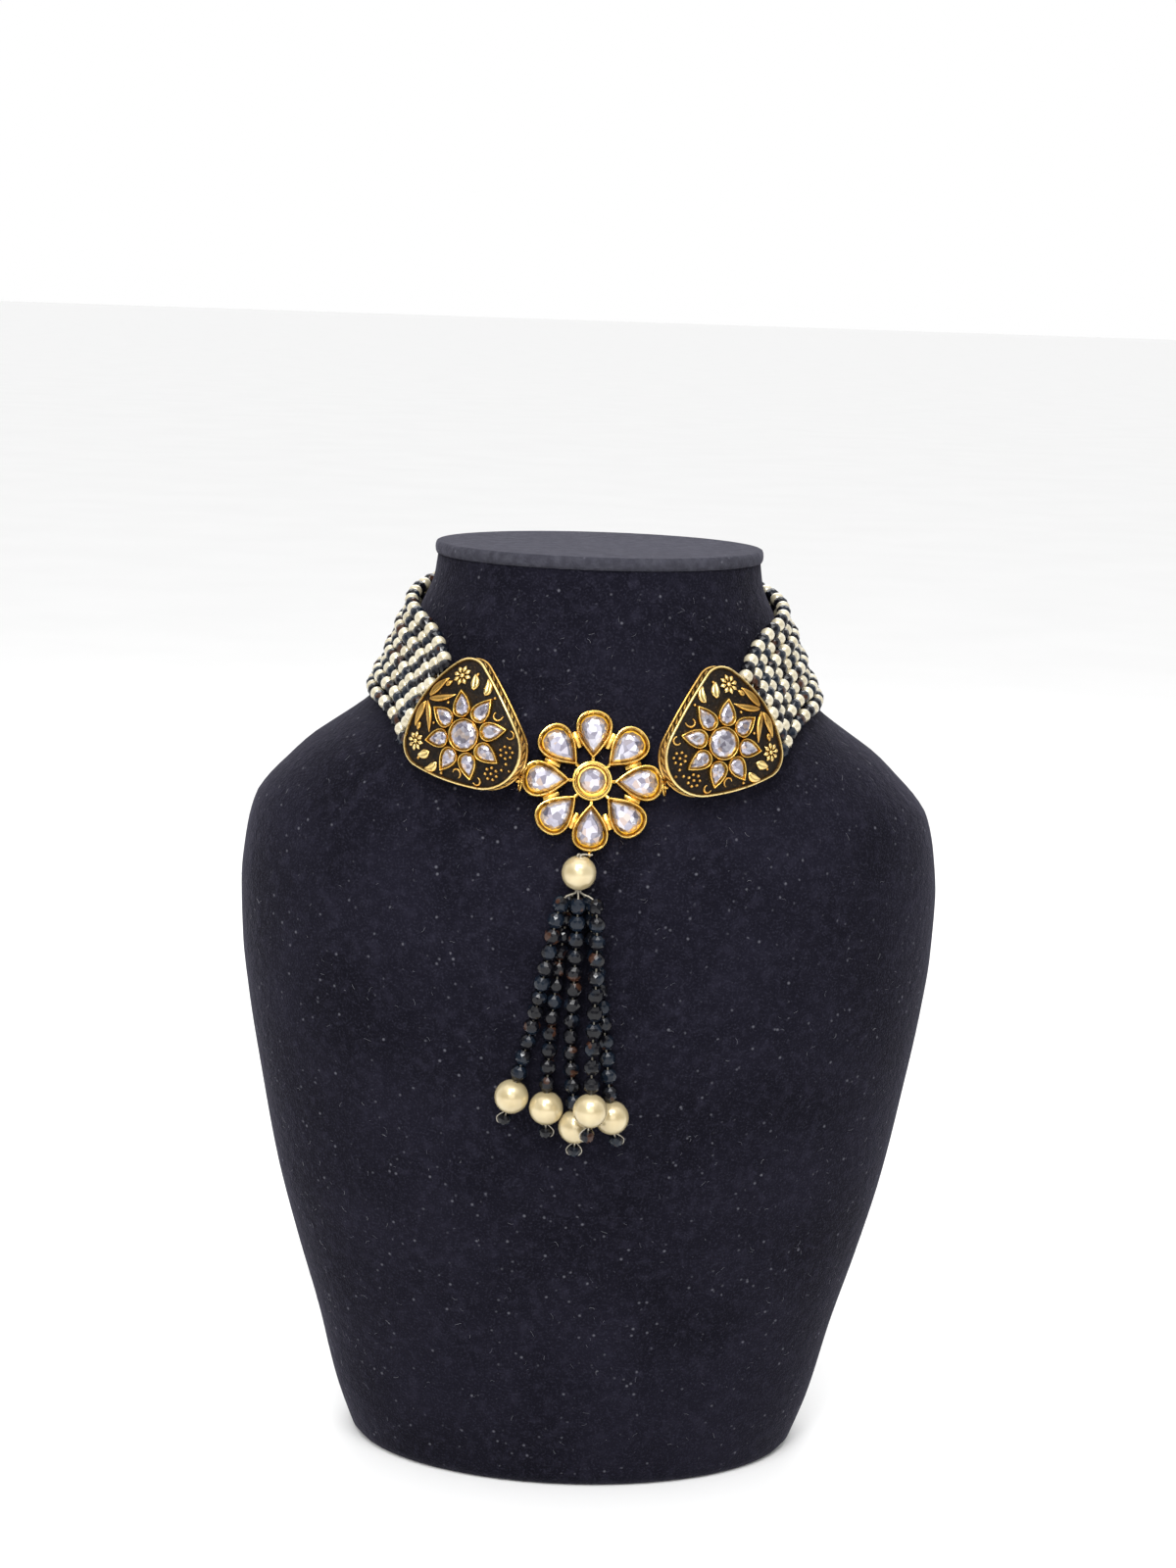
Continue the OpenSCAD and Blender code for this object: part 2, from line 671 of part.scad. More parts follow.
// Strand 1 is the top one. It leaves the plaque through the long side that faces away from the flower.
HOLE_SHIFT = 0.09;
band_side_z = bust_h - band_side_below;
band_back_z = bust_h - band_back_below;
rest_r = max(pearl_d, rondelle_d) / 2 + rest_gap;
STACK = 0.8;
function strand_hole(k) =
    let (x = ((STRANDS + 1) / 2 - k) * strand_pitch - HOLE_SHIFT * plaque_w)
    let (y = x > -corner_x ? -plaque_low : corner_y - sqrt(max(pow(corner_r, 2) - pow(x + corner_x, 2), 0)))
    [x, y - 0.2, dome_z([x, y], wall_back) + rest_r];
function strand_z(k, a, a0, z0) =
    let (side = band_side_z - (k - 1) * band_pitch * 0.93, back = band_back_z - (k - 1) * band_pitch)
    a < 90
        ? let (t = (a - a0) / (90 - a0)) hermite(z0, SLOPE_START * (90 - a0), side, SLOPE_SIDE * (90 - a0), t)
        : hermite(side, SLOPE_SIDE * 90, back, 0, (a - 90) / 90);
SLOPE_START = 0.55;
SLOPE_SIDE = 0.16;
function hermite(p, m, q, n, t) =
    let (t2 = t * t, t3 = t2 * t)
    (2 * t3 - 3 * t2 + 1) * p + (t3 - 2 * t2 + t) * m + (3 * t2 - 2 * t3) * q + (t3 - t2) * n;

clasp_reach = 0.3;
clasp_z = band_back_z - (STRANDS - 1) * band_pitch / 2;
clasp_h = (STRANDS - 1) * band_pitch + 3;
clasp_back = [for (x = [-1, 0, 1]) for (y = [-1, 0, 1]) [x * clasp_w / 2, y * clasp_h / 2, 0]];
clasp_frame = seat(180, clasp_z, lift_to_clear(clasp_back, 180, clasp_z));
function clasp_hole(k) = placed(clasp_frame,
    [-clasp_w / 2 - clasp_reach, (STRANDS + 1 - 2 * k) * band_pitch / 2, clasp_t / 2]);

ROUTE_STEPS = 56;
// Degrees over which a taut strand comes down from its hole to the bust
FADE = 26;
function strand_route(k) =
    let (hole = placed(plaque_frame, turned(strand_hole(k), plaque_turn)))
    let (end = clasp_hole(k), a0 = angle_of(hole), a1 = angle_of([abs(end.x), end.y, end.z]))
    let (first = strand_point(k, a0, a0, hole.z), last = strand_point(k, a1, a0, hole.z))
    [for (i = [0:ROUTE_STEPS])
        let (a = blend(a0, a1, i / ROUTE_STEPS))
        strand_point(k, a, a0, hole.z)
            + (hole - first) * pow(max(1 - (a - a0) / FADE, 0), 2)
            + ([abs(end.x), end.y, end.z] - last) * pow(max(1 - (a1 - a) / FADE, 0), 2)];
function strand_point(k, a, a0, z0) =
    let (z = strand_z(k, a, a0, z0))
    bust_at(a, z) + (rest_r + (k % 2) * STACK) * outward(a, z);

bead_step = (pearl_d + rondelle_l) / 2 + bead_gap;
ROW_SLANT = 2.6;
// Along each strand the pearls lie further out than on the strand above, so that they form slanting
// rows, and on the right every second strand is also half a repeat on.
function row_shift(k, side) = k * ROW_SLANT + (side == "right" && k % 2 == 1 ? bead_step : 0);
lead = rondelle_d / 2 + 1.2;
// A plain strand starts where it has left the plaque's wall
PLAIN_START = 2.5;

module strand(k, side) {
    p = strand_route(k);
    c = run(p);
    shift = row_shift(k, side);
    skipped = floor(shift / bead_step);
    first = lead + shift - skipped * bead_step;
    count = floor((c[ROUTE_STEPS] - first - lead) / bead_step);
    if (len(search(k, BEADED)) > 0) {
        for (j = [0:count]) on_route(p, c, first + j * bead_step, [0, 0, 1]) {
            if ((j + skipped) % 2 == 0) color("#e8dfc8") pearl(pearl_d, bore_r);
            else color("#15171d") rondelle(rondelle_d, rondelle_l);
        }
    } else {
        color("#8d897f") tube(p, c, PLAIN_START, c[ROUTE_STEPS] - 0.2, plain_d, 8, plain_d * 3, [0, 0, 1]);
    }
}

module strand_threads() {
    for (k = BEADED) {
        p = strand_route(k);
        c = run(p);
        color("#e6e2d6") tube(p, c, 0, c[ROUTE_STEPS], thread_d, 5, 6, [0, 0, 1]);
    }
}

module clasp() {
    color("#a9802f") multmatrix(clasp_frame)
        translate([-clasp_w / 2, -clasp_h / 2, 0]) cube([clasp_w, clasp_h, clasp_t]);
}

// Tassel. Its strings lie in front of the chest, and their knots are chosen by eye: place across,
// depth in front of the chest and height below the upper pearl, of the knot.
tassel_x = -2.9;
tassel_z = bust_h - tassel_below;
drop_r = drop_d / 2;
STRING_KNOTS = [
    [[-7.6, 7.0, 8.8], [-11.5, 6.4, 28.4], [-15.4, 2.8, 48], [-20.1, 5.5, 67.4], [-22.8, 3.4, 77.4]],
    [[-5.3, 2.75, 8.8], [-7.9, 2.75, 28.4], [-9.6, 2.75, 48], [-10.1, 5.5, 70.4], [-10, 3.4, 80.8]],
    [[-2.8, 7.3, 9.2], [-3.2, 5.6, 29.4], [-3.7, 2.9, 53], [-1.6, 5.5, 76], [-1.9, 3.4, 86.4]],
    [[2.1, 7.2, 9.2], [2.9, 7.8, 29], [2.6, 9.2, 48], [2.4, 13.6, 67], [1.7, 12.6, 77.4]],
    [[-0.3, 2.85, 9], [3.2, 2.95, 29], [6.2, 2.85, 49], [8.8, 5.5, 72.8], [10.8, 3.4, 82.4]]
];
function on_chest(x, depth, z) =
    let (a = asin(x / half_w(z)))
    bust_at(a, z) + depth * outward(a, z);
tassel_center = on_chest(tassel_x, drop_r + rest_gap, tassel_z);
// Threads stand side by side in the upper pearl's hole
HOLE_RING = 0.66;
tassel_bore_r = HOLE_RING + thread_d / 2 + bore_gap + 0.25;
drop_bore_r = bore_r + 0.4;
function string_knots(i) =
    let (t = tassel_center, spread = [[-0.8, -0.6], [-0.5, 0.8], [0, -1], [0.8, -0.6], [0.5, 0.8]][i - 1] * HOLE_RING)
    concat(
        [t + [spread.x, spread.y, 1], t + [spread.x, spread.y, -drop_r - 0.3]],
        [for (q = STRING_KNOTS[i - 1]) on_chest(q[0], q[1], tassel_z - q[2])]
    );

// Smooth line through knots, with the same number of points between each two
SPLINE_STEPS = 8;
function spline(q) =
    let (n = len(q) - 1)
    concat(
        [for (i = [0:n - 1]) for (j = [0:SPLINE_STEPS - 1])
            let (t = j / SPLINE_STEPS, a = q[max(i - 1, 0)], b = q[i], c = q[i + 1], d = q[min(i + 2, n)])
            b + ((c - a) * t + (2 * a - 5 * b + 4 * c - d) * t * t + (3 * b - a - 3 * c + d) * t * t * t) / 2],
        [q[n]]
    );

string_step = bead_l + bead_gap;
// Lengths along a string: its first bead, how many beads fill it, its drop and its end bead
function first_at(c) = c[2 * SPLINE_STEPS];
function drop_at(c) = c[5 * SPLINE_STEPS];
function bead_count(c) = floor((drop_at(c) - first_at(c) - drop_r - bead_gap + bead_l / 2) / string_step);
function bead_spread(c) = (drop_at(c) - first_at(c) - drop_r - bead_gap - bead_l / 2) / (bead_count(c) - 1);
function end_at(c) = drop_at(c) + drop_r + end_thread + end_bead_d * 0.45;

module tassel_string(i) {
    p = spline(string_knots(i));
    c = run(p);
    for (j = [0:bead_count(c) - 1])
        color("#15171d") on_route(p, c, first_at(c) + j * bead_spread(c), [0, 1, 0]) rondelle(bead_d, bead_l);
}

module tassel_drop(i) {
    p = spline(string_knots(i));
    c = run(p);
    color("#e8dfc8") on_route(p, c, drop_at(c), [0, 1, 0]) pearl(drop_d, drop_bore_r);
}

module tassel_end_beads() {
    for (i = [1:5]) {
        p = spline(string_knots(i));
        c = run(p);
        color("#15171d") on_route(p, c, end_at(c), [0, 1, 0]) rondelle(end_bead_d, end_bead_d * 0.9);
    }
}

module tassel_threads() {
    for (i = [1:5]) {
        p = spline(string_knots(i));
        c = run(p);
        color("#e6e2d6") tube(p, c, 0, min(end_at(c) + end_bead_d * 0.6, c[len(c) - 1]), thread_d, 5, 1.4, [0, 1, 0]);
    }
}

module tassel_pearl() {
    color("#e8dfc8") translate(tassel_center) pearl(drop_d, tassel_bore_r);
}

// The thread loop leaves the upper pearl's hole, passes through the flower's lower lug and comes back
module tassel_loop() {
    hole = flower_lug_at(LUGS[2]);
    top = tassel_center + [0, 0, drop_r];
    leg = lug_t / 2 + thread_d;
    knots = [
        top + [0.5, 0, -3],
        top + [0.5, 0, 0.2],
        blend(top, hole, 0.6) + [leg + 0.9, 0, 0],
        hole + [leg, 0, 0],
        hole,
        hole - [leg, 0, 0],
        blend(top, hole, 0.6) - [leg + 0.3, 0, 0],
        top + [-0.5, 0, 0.2],
        top + [-0.5, 0, -3]
    ];
    p = spline(knots);
    c = run(p);
    color("#e6e2d6") tube(p, c, 0, c[len(c) - 1], thread_d, 6, 0.6, [0, 1, 0]);
}

module sided(side) {
    if (side == "left") mirror([1, 0, 0]) children();
    else children();
}

bust_body();
neck_disc();
flower_setting();
flower_center_stone();
for (k = [1:PETALS]) flower_petal_stone(k);
for (s = SIDES) {
    sided(s) plaque();
    sided(s) enamel();
    sided(s) plaque_center_stone();
    sided(s) plaque_petal_stones();
    sided(s) link();
    for (k = [1:STRANDS]) sided(s) strand(k, s);
    sided(s) strand_threads();
}
clasp();
tassel_loop();
tassel_pearl();
tassel_threads();
tassel_end_beads();
for (i = [1:5]) {
    tassel_string(i);
    tassel_drop(i);
}
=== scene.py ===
import math
import random

import bpy
import numpy as np
from mathutils import Matrix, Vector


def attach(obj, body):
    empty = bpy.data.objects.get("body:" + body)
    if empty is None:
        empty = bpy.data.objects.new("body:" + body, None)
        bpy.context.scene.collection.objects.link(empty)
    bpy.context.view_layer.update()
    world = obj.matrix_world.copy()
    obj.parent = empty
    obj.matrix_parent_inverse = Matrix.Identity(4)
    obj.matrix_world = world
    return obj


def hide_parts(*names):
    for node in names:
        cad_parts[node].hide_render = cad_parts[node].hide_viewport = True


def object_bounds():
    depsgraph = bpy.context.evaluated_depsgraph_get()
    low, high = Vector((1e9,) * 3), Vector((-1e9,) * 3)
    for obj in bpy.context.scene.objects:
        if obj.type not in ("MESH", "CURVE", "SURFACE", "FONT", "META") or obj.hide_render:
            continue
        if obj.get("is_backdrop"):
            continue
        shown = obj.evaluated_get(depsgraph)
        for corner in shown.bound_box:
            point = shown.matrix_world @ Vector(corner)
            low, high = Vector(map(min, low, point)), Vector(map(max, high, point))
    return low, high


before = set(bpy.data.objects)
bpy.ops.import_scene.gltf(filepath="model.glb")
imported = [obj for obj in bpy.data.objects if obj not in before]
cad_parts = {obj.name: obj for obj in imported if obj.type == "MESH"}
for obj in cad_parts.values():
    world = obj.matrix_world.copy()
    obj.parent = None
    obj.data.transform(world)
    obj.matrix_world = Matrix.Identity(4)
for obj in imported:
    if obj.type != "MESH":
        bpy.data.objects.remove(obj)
cad_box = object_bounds()
MM = 0.001

# Numbers of the source

BUST_H, SHOULDER_W, NECK_W, BASE_W = 288, 220, 100, 143
CHEST_D, BACK_D, DISC_T, DISC_LIP = 67, 50, 4, 0.8
SHOULDER = 0.64
# Height, width, depth in front and depth behind, as shares
SECTIONS = np.array([
    [0, 0, 0.67, 0.90], [0.06, 0.16, 0.71, 0.92], [0.15, 0.33, 0.76, 0.96], [0.23, 0.505, 0.815, 0.98],
    [0.32, 0.68, 0.88, 1], [0.42, 0.82, 0.935, 1], [0.51, 0.93, 0.985, 1], [0.575, 0.985, 0.995, 1],
    [SHOULDER, 1, 1, 1], [0.685, 0.98, 0.985, 1], [0.73, 0.93, 0.965, 1], [0.75, 0.866, 0.95, 1],
    [0.77, 0.774, 0.93, 1], [0.795, 0.649, 0.905, 1], [0.816, 0.505, 0.88, 0.995],
    [0.837, 0.365, 0.85, 0.99], [0.858, 0.264, 0.815, 0.98], [0.882, 0.205, 0.775, 0.96],
    [0.905, 0.16, 0.74, 0.94], [0.925, 0.12, 0.71, 0.92], [0.945, 0.08, 0.685, 0.9],
    [0.976, 0.017, 0.65, 0.87], [1, 0, 0.635, 0.85],
])

FLOWER_Z, FLOWER_W, FLOWER_T, FLOWER_TURN = 228.4, 41.5, 3.4, 0.5
FLOWER_LIFT = 0.3
PETAL_W, PETAL_L, HUB_D, PETALS = 10.9, 14.4, 11.8, 8
PETAL_STONE_W, HUB_STONE_D = 7.3, 7.4
PETAL_MID = FLOWER_W / 2 - PETAL_L / 2
PETAL_END = FLOWER_W / 2 - PETAL_W / 2
LUG_D, LUG_HOLE_D, LUG_T = 2.0, 1.2, 0.6
LUG_REACH = LUG_HOLE_D / 2 + 0.05

PLAQUE_W = PLAQUE_H = 37.4
PLAQUE_YAW, PLAQUE_LEAN, PLAQUE_TURN = 24, 9, 123
PLAQUE_ORIGIN = (37.32, -63.35, 241.3)
PLAQUE_LUG_TURN = 89.97
PLAQUE_T, PLATE_T, RIM_W, RIM_H, DOME_R = 4.8, 1.4, 1.0, 0.9, 52
BOSS_D, RAY_W, RAY_L, BEZEL_H, BEZEL_W = 9.8, 5.7, 8.2, 1.6, 0.9
RAY_MID = BOSS_D / 2 + 0.2 + RAY_L / 2
APEX_R, CORNER_R = PLAQUE_W * 0.32, PLAQUE_W * 0.185
SIDE_BOW, BASE_BOW, BASE_SAG = 8, 20, PLAQUE_H * 0.04
PLAQUE_TOP = PLAQUE_H * 0.494
PLAQUE_LOW = PLAQUE_H - PLAQUE_TOP
RELIEF_H, GROUND_T = 0.9, 0.35
DAISY = (0.65, -0.675, 2.9)
LEAVES = [(0.02, -0.91, 58, 9.6, 1.7, -12), (0.05, -0.92, 2, 8.2, 2.1, 10), (0.61, -0.35, -25, 4.8, 2.3, -14),
          (0.66, -0.15, 10, 5, 2.1, -42), (0.36, -0.79, 20, 2.6, 1.3, 0)]
SCROLLS = [(0.57, 0.24, 1.5, 60, 230), (0.45, 0.58, 1.3, -30, 230)]
DOTS = [(0, 0.9), (0.06, 0.8), (0.2, -0.56), (0.47, -0.47), (0.83, -0.47), (0.74, 0.02)]
CLUSTER, CLUSTER_R, CLUSTER_DOTS, DOT_R = (0.21, 0.7), 1.75, 7, 0.5

STRANDS, PEARL_D, RONDELLE_D, RONDELLE_L = 8, 4.4, 4.5, 4.1
STRAND_PITCH, HOLE_SHIFT, STACK, REST_GAP, BEAD_GAP = 3.6, 0.09, 0.8, 0.3, 0.15
BAND_SIDE_Z, BAND_BACK_Z, BAND_PITCH = 273, 283, 4.1
CLASP_W, CLASP_T, CLASP_REACH, CLASP_LIFT = 14, 2.4, 0.3, 0.44
SLOPE_START, SLOPE_SIDE, ROUTE_STEPS, FADE, ROW_SLANT = 0.55, 0.16, 56, 26, 2.6

DROP_D, BEAD_D, BEAD_L, END_BEAD_D, END_THREAD = 10.2, 4.8, 4.7, 4.2, 1.4
THREAD_D, BORE_GAP = 0.5, 0.35
TASSEL_X, TASSEL_Z, HOLE_RING, SPLINE_STEPS = -2.9, 202.6, 0.66, 8
STRING_KNOTS = [
    [(-7.6, 7.0, 8.8), (-11.5, 6.4, 28.4), (-15.4, 2.8, 48), (-20.1, 5.5, 67.4), (-22.8, 3.4, 77.4)],
    [(-5.3, 2.75, 8.8), (-7.9, 2.75, 28.4), (-9.6, 2.75, 48), (-10.1, 5.5, 70.4), (-10, 3.4, 80.8)],
    [(-2.8, 7.3, 9.2), (-3.2, 5.6, 29.4), (-3.7, 2.9, 53), (-1.6, 5.5, 76), (-1.9, 3.4, 86.4)],
    [(2.1, 7.2, 9.2), (2.9, 7.8, 29), (2.6, 9.2, 48), (2.4, 13.6, 67), (1.7, 12.6, 77.4)],
    [(-0.3, 2.85, 9), (3.2, 2.95, 29), (6.2, 2.85, 49), (8.8, 5.5, 72.8), (10.8, 3.4, 82.4)],
]
HOLE_SPREAD = [(-0.8, -0.6), (-0.5, 0.8), (0, -1), (0.8, -0.6), (0.5, 0.8)]

# Here the stones are cut larger and the tassel's beads flatter than the source has them, as the photo shows

PETAL_STONE_GROWTH, HUB_STONE_GROWTH = 0.35, 0.5
PETAL_STONE_INSET, BOSS_STONE_INSET, RAY_STONE_INSET, RAY_STONE_END = 1.85, 1.6, 1.6, 2.1
TASSEL_BEAD_WIDE, TASSEL_BEAD_LOW, END_BEAD_LOW = 1.02, 0.94, 0.9


# Camera: the photo's place, pitch, roll and angle of view

CAMERA_AT, CAMERA_PITCH, CAMERA_ROLL = (-1.2, -796.6, 365.8), math.radians(10.64), math.radians(1.9)
CAMERA_FOCAL_PX, PHOTO_H, SENSOR = 2620, 1600, 36


def make_camera():
    data = bpy.data.cameras.new("camera")
    data.sensor_fit = "VERTICAL"
    data.sensor_height = SENSOR
    data.lens = CAMERA_FOCAL_PX / PHOTO_H * SENSOR
    data.clip_start, data.clip_end = 0.01, 50
    camera = bpy.data.objects.new("camera", data)
    bpy.context.scene.collection.objects.link(camera)
    forward = np.array([0, math.cos(CAMERA_PITCH), -math.sin(CAMERA_PITCH)])
    right0 = np.array([1.0, 0, 0])
    up0 = np.cross(right0, forward)
    right = right0 * math.cos(CAMERA_ROLL) + up0 * math.sin(CAMERA_ROLL)
    up = up0 * math.cos(CAMERA_ROLL) - right0 * math.sin(CAMERA_ROLL)
    m = np.eye(4)
    m[:3, 0], m[:3, 1], m[:3, 2], m[:3, 3] = right, up, -forward, np.array(CAMERA_AT) * MM
    camera.matrix_world = Matrix(m.tolist())
    bpy.context.scene.camera = camera


make_camera()


# Geometry of the bust

def sind(a):
    return math.sin(math.radians(a))


def cosd(a):
    return math.cos(math.radians(a))


def unit(v):
    v = np.asarray(v, float)
    return v / np.linalg.norm(v)


def half_w(z):
    share = np.interp(z / BUST_H, SECTIONS[:, 0], SECTIONS[:, 1])
    end_w = BASE_W if z / BUST_H < SHOULDER else NECK_W
    return (end_w + (SHOULDER_W - end_w) * share) / 2


def front_d(z):
    return CHEST_D * np.interp(z / BUST_H, SECTIONS[:, 0], SECTIONS[:, 2])


def rear_d(z):
    return BACK_D * np.interp(z / BUST_H, SECTIONS[:, 0], SECTIONS[:, 3])


def bust_at(a, z):
    depth = front_d(z) if cosd(a) > 0 else rear_d(z)
    return np.array([half_w(z) * sind(a), -cosd(a) * depth, z])


def angle_of(p):
    depth = front_d(p[2]) if p[1] < 0 else rear_d(p[2])
    return math.degrees(math.atan2(p[0] / half_w(p[2]), -p[1] / depth))


def outward(a, z):
    return unit(np.cross(bust_at(a + 1, z) - bust_at(a - 1, z), bust_at(a, z + 3) - bust_at(a, z - 3)))


def framed(x, y, z, p):
    m = np.eye(4)
    m[:3, 0], m[:3, 1], m[:3, 2], m[:3, 3] = x, y, z, p
    return m


def seat(a, z, lift=0.0):
    n = outward(a, z)
    x = unit(np.cross([0, 0, 1], n))
    return framed(x, np.cross(n, x), n, bust_at(a, z) + lift * n)


def placed(m, points):
    points = np.asarray(points, float)
    return points @ m[:3, :3].T + m[:3, 3]


def turn_z(a):
    return framed([cosd(a), sind(a), 0], [-sind(a), cosd(a), 0], [0, 0, 1], [0, 0, 0])


def shift(x=0.0, y=0.0, z=0.0):
    return framed([1, 0, 0], [0, 1, 0], [0, 0, 1], [x, y, z])


# Meshes

class Shape:
    """Gathers points and faces. A face's mark is the place of its material in the piece's list."""

    def __init__(self):
        self.points, self.faces, self.marks, self.count = [], [], [], 0

    def add(self, points, faces, marks=0, m=None):
        points = np.asarray(points, float)
        if m is not None:
            points = placed(m, points)
        self.points.append(points)
        self.faces += [tuple(i + self.count for i in face) for face in faces]
        self.marks += [marks] * len(faces) if isinstance(marks, int) else list(marks)
        self.count += len(points)

    def loft(self, rings, marks=0, m=None, caps=(True, True)):
        """A skin through rings of equally many points. marks is one mark, or one for each band."""
        n, rows = len(rings[0]), len(rings)
        band = [marks] * (rows - 1) if isinstance(marks, int) else list(marks)
        faces, given = [], []
        for i in range(rows - 1):
            for j in range(n):
                k = (j + 1) % n
                faces.append((i * n + j, i * n + k, (i + 1) * n + k, (i + 1) * n + j))
                given.append(band[i])
        if caps[0]:
            faces.append(tuple(range(n - 1, -1, -1)))
            given.append(band[0])
        if caps[1]:
            faces.append(tuple(range((rows - 1) * n, rows * n)))
            given.append(band[-1])
        self.add(np.concatenate([np.asarray(r, float) for r in rings]), faces, given, m)

    def piece(self, name, materials, slot, nodes=(), smooth=True, mirror=False, crease=None):
        points = np.concatenate(self.points) * MM
        faces = self.faces
        if mirror:
            points = points * [-1, 1, 1]
            faces = [face[::-1] for face in faces]
        mesh = bpy.data.meshes.new(name)
        mesh.from_pydata(points.tolist(), [], faces)
        for material in materials:
            mesh.materials.append(material)
        mesh.polygons.foreach_set("material_index", self.marks)
        mesh.polygons.foreach_set("use_smooth", [smooth] * len(faces))
        if crease is not None:
            mesh.set_sharp_from_angle(angle=math.radians(crease))
        mesh.update()
        obj = bpy.data.objects.new(name, mesh)
        bpy.context.scene.collection.objects.link(obj)
        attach(obj, "root")
        if nodes:
            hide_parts(*nodes)
        return obj


def pear(w, l, n=40):
    """Pear outline with its tip up, as in the source."""
    t = np.radians(np.arange(n) * 360 / n)
    return np.stack([-w / 2 * np.sin(t) * np.abs(np.sin(t / 2)) / 0.77, l / 2 * np.cos(t)], axis=1)


def ring_of(d, n=40):
    t = np.radians(np.arange(n) * 360 / n + 90)
    return np.stack([d / 2 * np.cos(t), d / 2 * np.sin(t)], axis=1)


def inset(outline, d):
    """The outline moved inwards by d along its normals."""
    along = np.roll(outline, -1, axis=0) - np.roll(outline, 1, axis=0)
    normal = np.stack([-along[:, 1], along[:, 0]], axis=1)
    return outline + d * normal / np.linalg.norm(normal, axis=1, keepdims=True)


def flat(outline, z):
    return np.column_stack([outline, np.full(len(outline), float(z))])


def tube(shape, line, d, sides=6, mark=0):
    """Round tube along a line of points."""
    line = np.asarray(line, float)
    rings = []
    for i, p in enumerate(line):
        t = unit(line[min(i + 1, len(line) - 1)] - line[max(i - 1, 0)])
        x = unit(np.cross([0.13, 0.31, 1], t))
        y = np.cross(t, x)
        angles = np.arange(sides) * math.tau / sides
        rings.append([p + d / 2 * (x * math.cos(a) + y * math.sin(a)) for a in angles])
    shape.loft(rings, mark)


# Materials

class Nodes:
    """A material's node tree with short calls for what the materials below need."""

    def __init__(self, name, **sockets):
        self.material = bpy.data.materials.new(name)
        self.material.use_nodes = True
        self.tree = self.material.node_tree
        self.shader = self.tree.nodes["Principled BSDF"]
        for socket, value in sockets.items():
            self.shader.inputs[socket.replace("_", " ")].default_value = value
        self.place = self.tree.nodes.new("ShaderNodeTexCoord").outputs["Object"]

    def link(self, output, socket):
        self.tree.links.new(output, socket)

    def noise(self, scale, detail=3.0, stretch=None):
        node = self.tree.nodes.new("ShaderNodeTexNoise")
        node.inputs["Scale"].default_value = scale
        node.inputs["Detail"].default_value = detail
        place = self.place
        if stretch is not None:
            mapping = self.tree.nodes.new("ShaderNodeMapping")
            mapping.inputs["Scale"].default_value = stretch
            self.link(place, mapping.inputs["Vector"])
            place = mapping.outputs["Vector"]
        self.link(place, node.inputs["Vector"])
        return node.outputs["Fac"]

    def cells(self, scale, output="Distance"):
        node = self.tree.nodes.new("ShaderNodeTexVoronoi")
        node.inputs["Scale"].default_value = scale
        self.link(self.place, node.inputs["Vector"])
        return node.outputs[output]

    def span(self, value, low, high, start=0.0, end=1.0):
        node = self.tree.nodes.new("ShaderNodeMapRange")
        node.inputs["From Min"].default_value = low
        node.inputs["From Max"].default_value = high
        node.inputs["To Min"].default_value = start
        node.inputs["To Max"].default_value = end
        self.link(value, node.inputs["Value"])
        return node.outputs["Result"]

    def math(self, operation, a, b):
        node = self.tree.nodes.new("ShaderNodeMath")
        node.operation = operation
        for socket, value in zip(node.inputs, (a, b)):
            if isinstance(value, (int, float)):
                socket.default_value = value
            else:
                self.link(value, socket)
        return node.outputs["Value"]

    def mix(self, share, a, b):
        node = self.tree.nodes.new("ShaderNodeMix")
        node.data_type = "RGBA"
        self.link(share, node.inputs["Factor"])
        for socket, value in (("A", a), ("B", b)):
            slot = [s for s in node.inputs if s.name == socket and s.type == "RGBA"][0]
            if isinstance(value, tuple):
                slot.default_value = (*value, 1)
            else:
                self.link(value, slot)
        return [s for s in node.outputs if s.type == "RGBA"][0]

    def bump(self, height, strength, distance):
        node = self.tree.nodes.new("ShaderNodeBump")
        node.inputs["Strength"].default_value = strength
        node.inputs["Distance"].default_value = distance
        self.link(height, node.inputs["Height"])
        self.link(node.outputs["Normal"], self.shader.inputs["Normal"])

    def color(self, output):
        self.link(output, self.shader.inputs["Base Color"])

    def rough(self, output):
        self.link(output, self.shader.inputs["Roughness"])


def velvet(name, dust_and_sheen):
    """Dark pile with a faint sheen, lying differently in patches, with pale lint and dust caught in it.

    The last argument is how far the pile is painted pale: partly dust, partly painted sheen such as grazing
    light gives the top of the neck disc."""
    n = Nodes(name, Roughness=1.0, Sheen_Weight=0.1, Sheen_Roughness=0.35, Sheen_Tint=(0.62, 0.6, 0.8, 1),
              Specular_IOR_Level=0.1)
    patches = n.noise(30, 4)
    pile = n.noise(1500, 2)
    clumps = n.noise(300, 3)
    base = n.mix(n.span(patches, 0.35, 0.7), (0.0030, 0.0028, 0.0062), (0.0075, 0.0070, 0.0135))
    base = n.mix(n.span(clumps, 0.5, 0.75, 0, 0.6), base, (0.016, 0.015, 0.026))
    base = n.mix(n.span(pile, 0.5, 0.8, 0, 0.6), base, (0.028, 0.027, 0.042))
    # Painted sheen and dust: the pile is mixed towards a pale grey-blue, as far as the last argument says
    base = n.mix(n.span(n.noise(420, 4), 0.4, 0.7, dust_and_sheen * 0.6, dust_and_sheen), base, (0.085, 0.085, 0.105))
    speck = n.span(n.cells(330), 0.06, 0.2, 1, 0)
    chosen = n.span(n.noise(260, 1), 0.52, 0.6)
    n.color(n.mix(n.math("MULTIPLY", n.math("MULTIPLY", speck, chosen), 0.55), base, (0.16, 0.16, 0.19)))
    n.bump(n.math("ADD", pile, n.math("MULTIPLY", clumps, 1.5)), 0.8, 0.0004)
    return n.material


